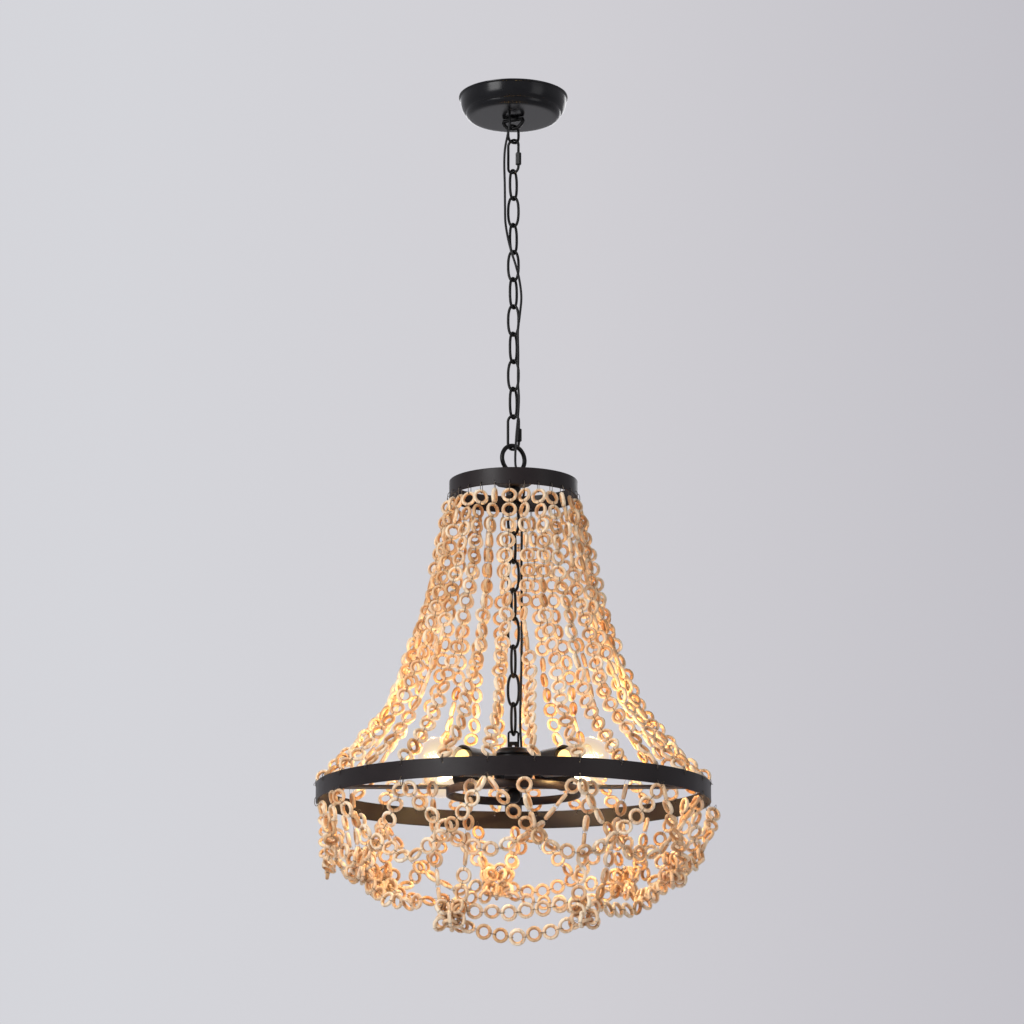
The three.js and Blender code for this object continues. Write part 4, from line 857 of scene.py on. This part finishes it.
# Lamp sockets and bulbs: (radius, distance from the shade's axis) along each arm
LAMPS, LAMP_ANGLE, LAMP_HEIGHT = 4, 45, -802.0
SOCKET_SEGMENTS, CAP_SEGMENTS, GLOBE_SEGMENTS, CORE_SEGMENTS = 40, 36, 40, 16
SOCKET = [(0, 17.3), (4.7, 17.3), (5.0, 17.8), (5.0, 44.6), (6.2, 46.0), (12.6, 46.0), (13.5, 46.8),
          (15.0, 49.0), (15.6, 50.6), (17.0, 79.0), (17.8, 80.4), (17.8, 81.6), (17.2, 82.0), (16.2, 81.2),
          (15.6, 78.0), (14.2, 57.2), (13.4, 56.0), (0, 56.0)]
BULB_CAP = [(0, 56.4), (5.0, 56.4), (9.0, 58.0), (12.6, 60.0), (13.0, 62.0), (13.0, 80.2), (12.4, 81.3),
            (0, 81.3)]
GLOBE_NECK = [(0, 80.9), (12.4, 80.9), (12.9, 83.0), (13.6, 86.6), (14.8, 91.0)]
GLOBE_RADIUS, GLOBE_CENTRE, GLOBE_START, GLOBE_STEPS = 22.4, 118, 42, 14
CORE_STEM = [(0, 96.5), (0.9, 96.6), (1.0, 104.0)]
CORE_RADIUS, CORE_HALF, CORE_CENTRE, CORE_TIP = 3.6, 9.5, 114.5, 124.0
CORE_TURNS = range(20, 180, 16)


def lamps():
    globe = list(GLOBE_NECK)
    for j in range(GLOBE_STEPS + 1):
        turn = math.radians(GLOBE_START + (180 - GLOBE_START) * j / GLOBE_STEPS)
        globe.append((GLOBE_RADIUS * math.sin(turn), GLOBE_CENTRE - GLOBE_RADIUS * math.cos(turn)))
    globe[-1] = (0, globe[-1][1])
    core = list(CORE_STEM)
    for turn in CORE_TURNS:
        core.append((CORE_RADIUS * math.sin(math.radians(turn)),
                     CORE_CENTRE - CORE_HALF * math.cos(math.radians(turn))))
    core.append((0, CORE_TIP))
    for i in range(LAMPS):
        axis, centre = outward(LAMP_ANGLE + 360 / LAMPS * i), UP * LAMP_HEIGHT
        bulb = f"bulb_{i + 1}"
        cup = lathe(SOCKET, SOCKET_SEGMENTS, axis, centre)
        black_piece(f"socket_{i + 1}_cup", [cup], "shade", f"lamp_socket_{i + 1}")
        for name, profile, segments, material, slot in (
                ("core", core, CORE_SEGMENTS, GLOWING_CORE, "warm_glass"),
                ("globe", globe, GLOBE_SEGMENTS, LIT_GLASS, "warm_glass"),
                ("cap", BULB_CAP, CAP_SEGMENTS, CAP_PLASTIC, "pale_plastic")):
            mesh = mesh_of(f"{bulb}_{name}", [lathe(profile, segments, axis, centre)])
            finished(f"{bulb}_{name}", mesh, material, f"{bulb}_body", bulb, slot=slot)


lamps()

# Strands and garlands of wooden rings
RING_PITCH = 18.9
chance = random.Random(7)

# Height above the big hoop's lower edge and radius of the upper strands' middle line
FLARE = [(340, 75.5), (320, 81), (300, 84), (280, 88), (260, 92), (240, 97), (225, 101), (208, 106), (190, 112),
         (170, 118), (150, 125), (130, 134), (110, 143.5), (95, 153), (80, 165), (65, 177.5), (50, 191), (36, 205),
         (27, 215)]
GROUPS, STRANDS_IN_GROUP = 7, 4
SIDE_DRIFT, OUT_DRIFT, SWAG_DRIFT = 3.2, 2.0, 2.4
# How far rings turn at random from facing outwards, in degrees
STRAND_SPREAD, SIDE_SPREAD, DEEP_SPREAD, BOTTOM_SPREAD, BUNCH_SPREAD, LONE_SPREAD = 52, 40, 62, 26, 16, 50
RING_JITTER, NEW_TURN_CHANCE = 14, 0.45
WAVES, WAVE_RATE, WAVE_STATIONS = 3, (0.6, 1.6), 4

# The side garlands hang from every second tie, a little beside it
TIE_ASIDE, SIDE_DROP, SIDE_POWER = 1.6, 9.5, 1.8
DEEP_RADIUS, DEEP_DROP, DEEP_POWER = 196, 8.5, 3.0
# Bundles of the deep swags: (angle, radius, drop below the big hoop)
BUNDLES = [(25, 179, 149), (81, 181, 88), (134.3, 181, 84), (185.7, 181, 80), (237.2, 181, 84), (288.6, 181, 88),
           (338, 181, 151)]
# The bottom garland from one bundle to the next: (angle and rise of each end, sag)
BOTTOM_RUNS = [(32, 20, 81, 0, 15), (81, 0, 134.3, 0, 12), (134.3, 0, 185.7, 0, 14), (185.7, 0, 237.2, 0, 14),
               (237.2, 0, 288.6, 0, 12), (288.6, 0, 328, 31, 15), (338, 4, 385, 4, 19), (340, 15, 383, 23, 7)]
BOTTOM_INSET, LOWER_SHARE = 5.6, 0.6
# Rows of rings in a bunch: (rise, rings, turn). Each ring strays by up to so many degrees and millimetres.
BUNCH_LEVELS = [(1, 6, 0), (17, 5, 30)]
BUNCH_INSET, BUNCH_REACH, BUNCH_LEAN = 3, (9, 13), (0.5, 1.1)
STRAY_ROUND, STRAY_UP = 14, 4
# The short strand at the front that drops from the hoop to where the garlands cross: (angle, radius, drop)
LONE_ROUTE = [(3, 221, 10), (4, 222, 30), (6.5, 223, 66)]
# Wire loops through the hoops' holes: (name, first angle, count, step, radius, top, bottom)
HOOP_TIES = [("top_hoop_ties", TOP_ANGLE, STRANDS, STRAND_STEP, 74.3, TOP_HOLE + 0.7, TOP_HOLE - 12.4),
             ("foot_ties", FOOT_ANGLE, STRANDS, STRAND_STEP, 221.2, FOOT_HOLE + 9.0, FOOT_HOLE - 0.7),
             ("garland_ties", FOOT_ANGLE, TIES, TIE_STEP, 222.0, NET_HOLE + 0.7, NET_HOLE - 9.2)]
TIE_HALF, TIE_SQUARENESS, TIE_RADIUS = 2.3, 0.8, 0.4


def wander(amount, count):
    """A slow random drift along a strand, zero at both ends."""
    waves = [(chance.uniform(*WAVE_RATE), chance.uniform(0, 2 * math.pi)) for _ in range(WAVES)]
    drift = []
    for i in range(count):
        wave = sum(math.sin(rate * math.pi * i / WAVE_STATIONS + phase) for rate, phase in waves)
        drift.append(amount * math.sin(math.pi * i / (count - 1)) * wave / 2)
    return drift


def ringed(path, spin_at):
    """Ring centres about one pitch apart along a path, with the direction and the turn of each ring."""
    lengths = [0.0]
    for a, b in zip(path, path[1:]):
        lengths.append(lengths[-1] + (b - a).length)
    count = max(int(lengths[-1] / RING_PITCH + 0.5), 1)
    step = lengths[-1] / count
    centres = []
    j = 0
    for i in range(count + 1):
        want = min(i * step, lengths[-1])
        while j < len(path) - 2 and lengths[j + 1] < want:
            j += 1
        share = (want - lengths[j]) / max(lengths[j + 1] - lengths[j], TINY)
        centres.append(path[j].lerp(path[j + 1], share))
    rings = []
    for i, centre in enumerate(centres):
        travel = centres[min(i + 1, count)] - centres[max(i - 1, 0)]
        rings.append((centre, travel.normalized(), spin_at(centre, travel)))
    return rings


def outward_look(centre):
    return Vector((centre.x, centre.y, 0)).normalized()


def facing_spin(look_at, spread):
    """Turns each ring so that its hole looks roughly along a direction, more or less at random, in short runs."""
    run_turn = chance.uniform(-1, 1) * spread

    def spin_at(centre, travel):
        nonlocal run_turn
        if chance.random() < NEW_TURN_CHANCE:
            run_turn = chance.gauss(0, spread)
        strand = travel.normalized()
        # The hole's own direction once the tree has turned the ring's X onto the strand
        hole = Vector((1, 0, 0)).rotation_difference(strand) @ Vector((0, 0, 1))
        look = look_at(centre)
        angle = math.atan2(look.dot(strand.cross(hole)), look.dot(hole))
        return angle + math.radians(run_turn + chance.gauss(0, RING_JITTER))
    return spin_at


def ring_piece(name, rings, node, seed):
    points = points_mesh(name, [centre for centre, _, _ in rings],
                         along=("FLOAT_VECTOR", "vector", [c for _, travel, _ in rings for c in travel]),
                         spin=("FLOAT", "value", [turn for _, _, turn in rings]))
    values = {"Seed": seed, "Wood": RING_WOOD, "Thread": TIE_WIRE}
    from_tree(name, RING_STRAND, points, values, "shade", node, slot="pale_wood")


def hoop_ties():
    for name, first, count, step, radius, top, bottom in HOOP_TIES:
        angles = [first + step * i for i in range(count)]
        places = [(place(angle, radius, (top + bottom) / 2), angle - 90) for angle in angles]
        wire_loops(name, places, TIE_HALF, (top - bottom) / 2, TIE_SQUARENESS, TIE_RADIUS, TIE_WIRE,
                   slot="dark_band", Steps=14, Sides=5)


def upper_strand(index):
    top = STRAND_STEP * index + TOP_ANGLE
    foot = STRAND_STEP * index + FOOT_ANGLE
    sideways = wander(SIDE_DRIFT, len(FLARE))
    outwards = wander(OUT_DRIFT, len(FLARE))
    high, low = FLARE[0][0], FLARE[-1][0]
    path = []
    for i, (height, radius) in enumerate(FLARE):
        share = (high - height) / (high - low)
        angle = top + (foot - top) * share
        path.append(place(angle, radius + outwards[i], BIG_LOW + height) + along_hoop(angle) * sideways[i])
    return ringed(smooth_curve(path, per_span=3), facing_spin(outward_look, STRAND_SPREAD))


def upper_strands():
    for g in range(GROUPS):
        rings = []
        for s in range(STRANDS_IN_GROUP):
            rings += upper_strand(g * STRANDS_IN_GROUP + s)
        ring_piece(f"strand_rings_{g + 1}", rings, f"bead_strands_{g + 1}", seed=11 + g)


def swag_path(start, end, lowest, power, steps=24):
    """A hanging path through its lowest point. A higher power makes its ends steeper."""
    sag = lowest - start.lerp(end, 0.5)
    across = wander(SWAG_DRIFT, steps + 1)
    along = wander(SWAG_DRIFT, steps + 1)
    facing = (end - start).cross(UP).normalized()
    path = []
    for i in range(steps + 1):
        share = i / steps
        point = start.lerp(end, share) + sag * (1 - abs(2 * share - 1) ** power)
        path.append(point + facing * across[i] * 0.5 + UP * along[i])
    return path


def side_garland(name, node, first, radius, sag, seed):
    rings = []
    for k in range(first, TIES + first, 2):
        angle = FOOT_ANGLE + TIE_STEP * k
        start = place(angle + TIE_ASIDE, radius, BIG_LOW - SIDE_DROP)
        end = place(angle + 2 * TIE_STEP - TIE_ASIDE, radius, BIG_LOW - SIDE_DROP)
        lowest = start.lerp(end, 0.5)
        lowest.z = BIG_LOW - sag
        rings += ringed(swag_path(start, end, lowest, SIDE_POWER), facing_spin(outward_look, SIDE_SPREAD))
    ring_piece(name, rings, node, seed)


def in_bundle(bundle, inset=0, rise=0.0):
    """A place at a bundle, moved in towards the axis and up."""
    angle, radius, drop = bundle
    return place(angle, radius - inset, BIG_LOW - drop + rise)


def deep_garland():
    rings = []
    for i, bundle in enumerate(BUNDLES):
        start = place(FOOT_ANGLE + TIE_STEP * (2 * i + 1) + FACET, DEEP_RADIUS, BIG_LOW - DEEP_DROP)
        end = place(FOOT_ANGLE + TIE_STEP * (2 * i + 2) - FACET, DEEP_RADIUS, BIG_LOW - DEEP_DROP)
        path = swag_path(start, end, in_bundle(bundle), DEEP_POWER)
        rings += ringed(path, facing_spin(outward_look, DEEP_SPREAD))
    ring_piece("deep_garland_rings", rings, "deep_swag_garland", seed=41)


def near_bundle(angle, rise):
    """A place at this angle with the radius and drop of the bundle nearest to it."""
    _, radius, drop = min(BUNDLES, key=lambda bundle: abs((bundle[0] - angle + 180) % 360 - 180))
    return place(angle, radius - BOTTOM_INSET, BIG_LOW - drop + rise)


def bottom_garland():
    rings = []
    for first_angle, first_rise, last_angle, last_rise, sag in BOTTOM_RUNS:
        start, end = near_bundle(first_angle, first_rise), near_bundle(last_angle, last_rise)
        lowest = start.lerp(end, 0.5)
        lowest.z = min(start.z, end.z) * LOWER_SHARE + max(start.z, end.z) * (1 - LOWER_SHARE) - sag
        rings += ringed(swag_path(start, end, lowest, 2.0), facing_spin(outward_look, BOTTOM_SPREAD))[:-1]
    ring_piece("bottom_garland_rings", rings, "bottom_swag_garland", seed=53)


def bunch(bundle):
    """Rings gathered by their wires where two deep swags meet, standing out like petals."""
    rings = []
    for rise, count, shift in BUNCH_LEVELS:
        for j in range(count):
            angle = shift + 360 * j / count + chance.uniform(-STRAY_ROUND, STRAY_ROUND)
            away = outward(angle)
            centre = (in_bundle(bundle, BUNCH_INSET, rise) + away * chance.uniform(*BUNCH_REACH)
                      + UP * chance.uniform(-STRAY_UP, STRAY_UP))
            travel = (UP * chance.uniform(*BUNCH_LEAN) - away).normalized()
            spin_at = facing_spin(lambda centre: along_hoop(angle), BUNCH_SPREAD)
            rings.append((centre, travel, spin_at(centre, travel)))
    return rings


def bunches():
    rings = []
    for bundle in BUNDLES:
        rings += bunch(bundle)
    ring_piece("bunch_rings", rings, "deep_swag_garland", seed=67)


def lone_strand():
    path = [place(angle, radius, BIG_LOW - drop) for angle, radius, drop in LONE_ROUTE]
    rings = ringed(smooth_curve(path, per_span=6), facing_spin(outward_look, LONE_SPREAD))
    ring_piece("lone_strand_rings", rings, "inner_swag_garland", seed=71)


# The random draws follow this order
hoop_ties()
upper_strands()
side_garland("outer_garland_rings", "outer_swag_garland", first=0, radius=227.5, sag=79, seed=31)
side_garland("inner_garland_rings", "inner_swag_garland", first=1, radius=215.5, sag=76, seed=37)
deep_garland()
bottom_garland()
bunches()
lone_strand()

# Finishes of the pieces whose solids stay
FINISHES = {
    "mounting_bar": ZINC, "canopy_lock_nut": ZINC, "terminal_block": PALE_PLASTIC, "loop_washer": SATIN_BLACK,
    "top_crossbar": WARM_LIT_BAND_BLACK, "hub_loop": SATIN_BLACK, "spoke_cross": WARM_LIT_BAND_BLACK,
}
for node_name, finish in FINISHES.items():
    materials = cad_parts[node_name].data.materials
    materials.clear()
    materials.append(finish)

# Studio, in metres: a pale floor that curves up behind the chandelier, and soft light
FLOOR_HEIGHT, FLOOR_HALF, WALL_START = -2.1, 16, 3.0
CURVE_RADIUS, CURVE_STEPS, WALL_TOP = 1.2, 8, 5.0
PAPER = (0.66, 0.655, 0.69, 1)
# Painted shade on the paper: (position, colour) stops, darker towards the right
PAPER_SHADE = [(0.0, (0.665, 0.668, 0.705)), (0.5, (0.635, 0.625, 0.66)), (1.0, (0.545, 0.535, 0.575))]
SHADE_LEFT, SHADE_RIGHT = -1.0, 1.3
AIR, AIR_STRENGTH = (0.95, 0.96, 1.0, 1), 0.40
AIR_SEEN = (0.635, 0.63, 0.665, 1)
AIMED_AT = Vector((0, 0, -0.7))
# Soft boxes: (name, place, size, watts)
SOFT_BOXES = [("key_box", (-2.2, -2.6, 0.4), (1.5, 2.0), 98), ("fill_box", (2.6, -2.0, -0.6), (1.4, 2.2), 16),
              ("back_box", (0.4, 2.4, 0.6), (2.4, 1.6), 22)]


def by_sight(tree, lit, seen):
    """The seen shader for rays from the camera, off gloss or through glass, and the lit one for all others."""
    path = add(tree, "ShaderNodeLightPath").outputs
    directly = path["Is Camera Ray"]
    for kind in ("Is Glossy Ray", "Is Transmission Ray"):
        directly = maths(tree, "MAXIMUM", directly, path[kind])
    return add(tree, "ShaderNodeMixShader", {"Fac": directly, 1: lit, 2: seen}).outputs["Shader"]


def studio_paper():
    """Matt paper that shows the photograph's pale grey and keeps the light that falls on it."""
    material, tree, shader = blank("studio_paper")
    feed(tree, shader, {"Base Color": PAPER, "Roughness": 0.9})
    where = add(tree, "ShaderNodeTexCoord").outputs["Object"]
    parts = add(tree, "ShaderNodeSeparateXYZ", {"Vector": where}).outputs
    # Painted shade: the grey seen on the paper grows darker towards the right
    paper_shade = ramp(tree, map_range(tree, parts["X"], SHADE_LEFT, SHADE_RIGHT), PAPER_SHADE)
    seen = add(tree, "ShaderNodeEmission", {"Color": paper_shade}).outputs["Emission"]
    feed(tree, tree.nodes["Material Output"], {"Surface": by_sight(tree, shader.outputs["BSDF"], seen)})
    return material


def studio_floor():
    rows = [(-FLOOR_HALF, FLOOR_HEIGHT), (WALL_START, FLOOR_HEIGHT)]
    for i in range(1, CURVE_STEPS + 1):
        turn = math.radians(90 * i / CURVE_STEPS)
        rows.append((WALL_START + CURVE_RADIUS * math.sin(turn),
                     FLOOR_HEIGHT + CURVE_RADIUS * (1 - math.cos(turn))))
    rows.append((WALL_START + CURVE_RADIUS, WALL_TOP))
    points = [(x, y, z) for y, z in rows for x in (-FLOOR_HALF, FLOOR_HALF)]
    faces = [(i, i + 1, i + 3, i + 2) for i in range(0, len(points) - 2, 2)]
    mesh = bpy.data.meshes.new("studio_floor")
    mesh.from_pydata(points, [], faces)
    finished("studio_floor", mesh, studio_paper(), None)


def soft_box(name, location, size, power):
    data = bpy.data.lights.new(name, "AREA")
    data.shape = "RECTANGLE"
    data.size, data.size_y = size
    data.energy = power
    lamp = bpy.data.objects.new(name, data)
    lamp.location = location
    lamp.rotation_euler = (AIMED_AT - Vector(location)).to_track_quat("-Z", "Y").to_euler()
    bpy.context.collection.objects.link(lamp)


def studio_air():
    world = bpy.data.worlds.new("studio_air")
    bpy.context.scene.world = world
    world.use_nodes = True
    tree = world.node_tree
    air = tree.nodes["Background"]
    feed(tree, air, {"Color": AIR, "Strength": AIR_STRENGTH})
    pale = add(tree, "ShaderNodeBackground", {"Color": AIR_SEEN}).outputs["Background"]
    feed(tree, tree.nodes["World Output"], {"Surface": by_sight(tree, air.outputs["Background"], pale)})


studio_floor()
for box in SOFT_BOXES:
    soft_box(*box)
studio_air()
bpy.context.scene.view_settings.view_transform = "Standard"
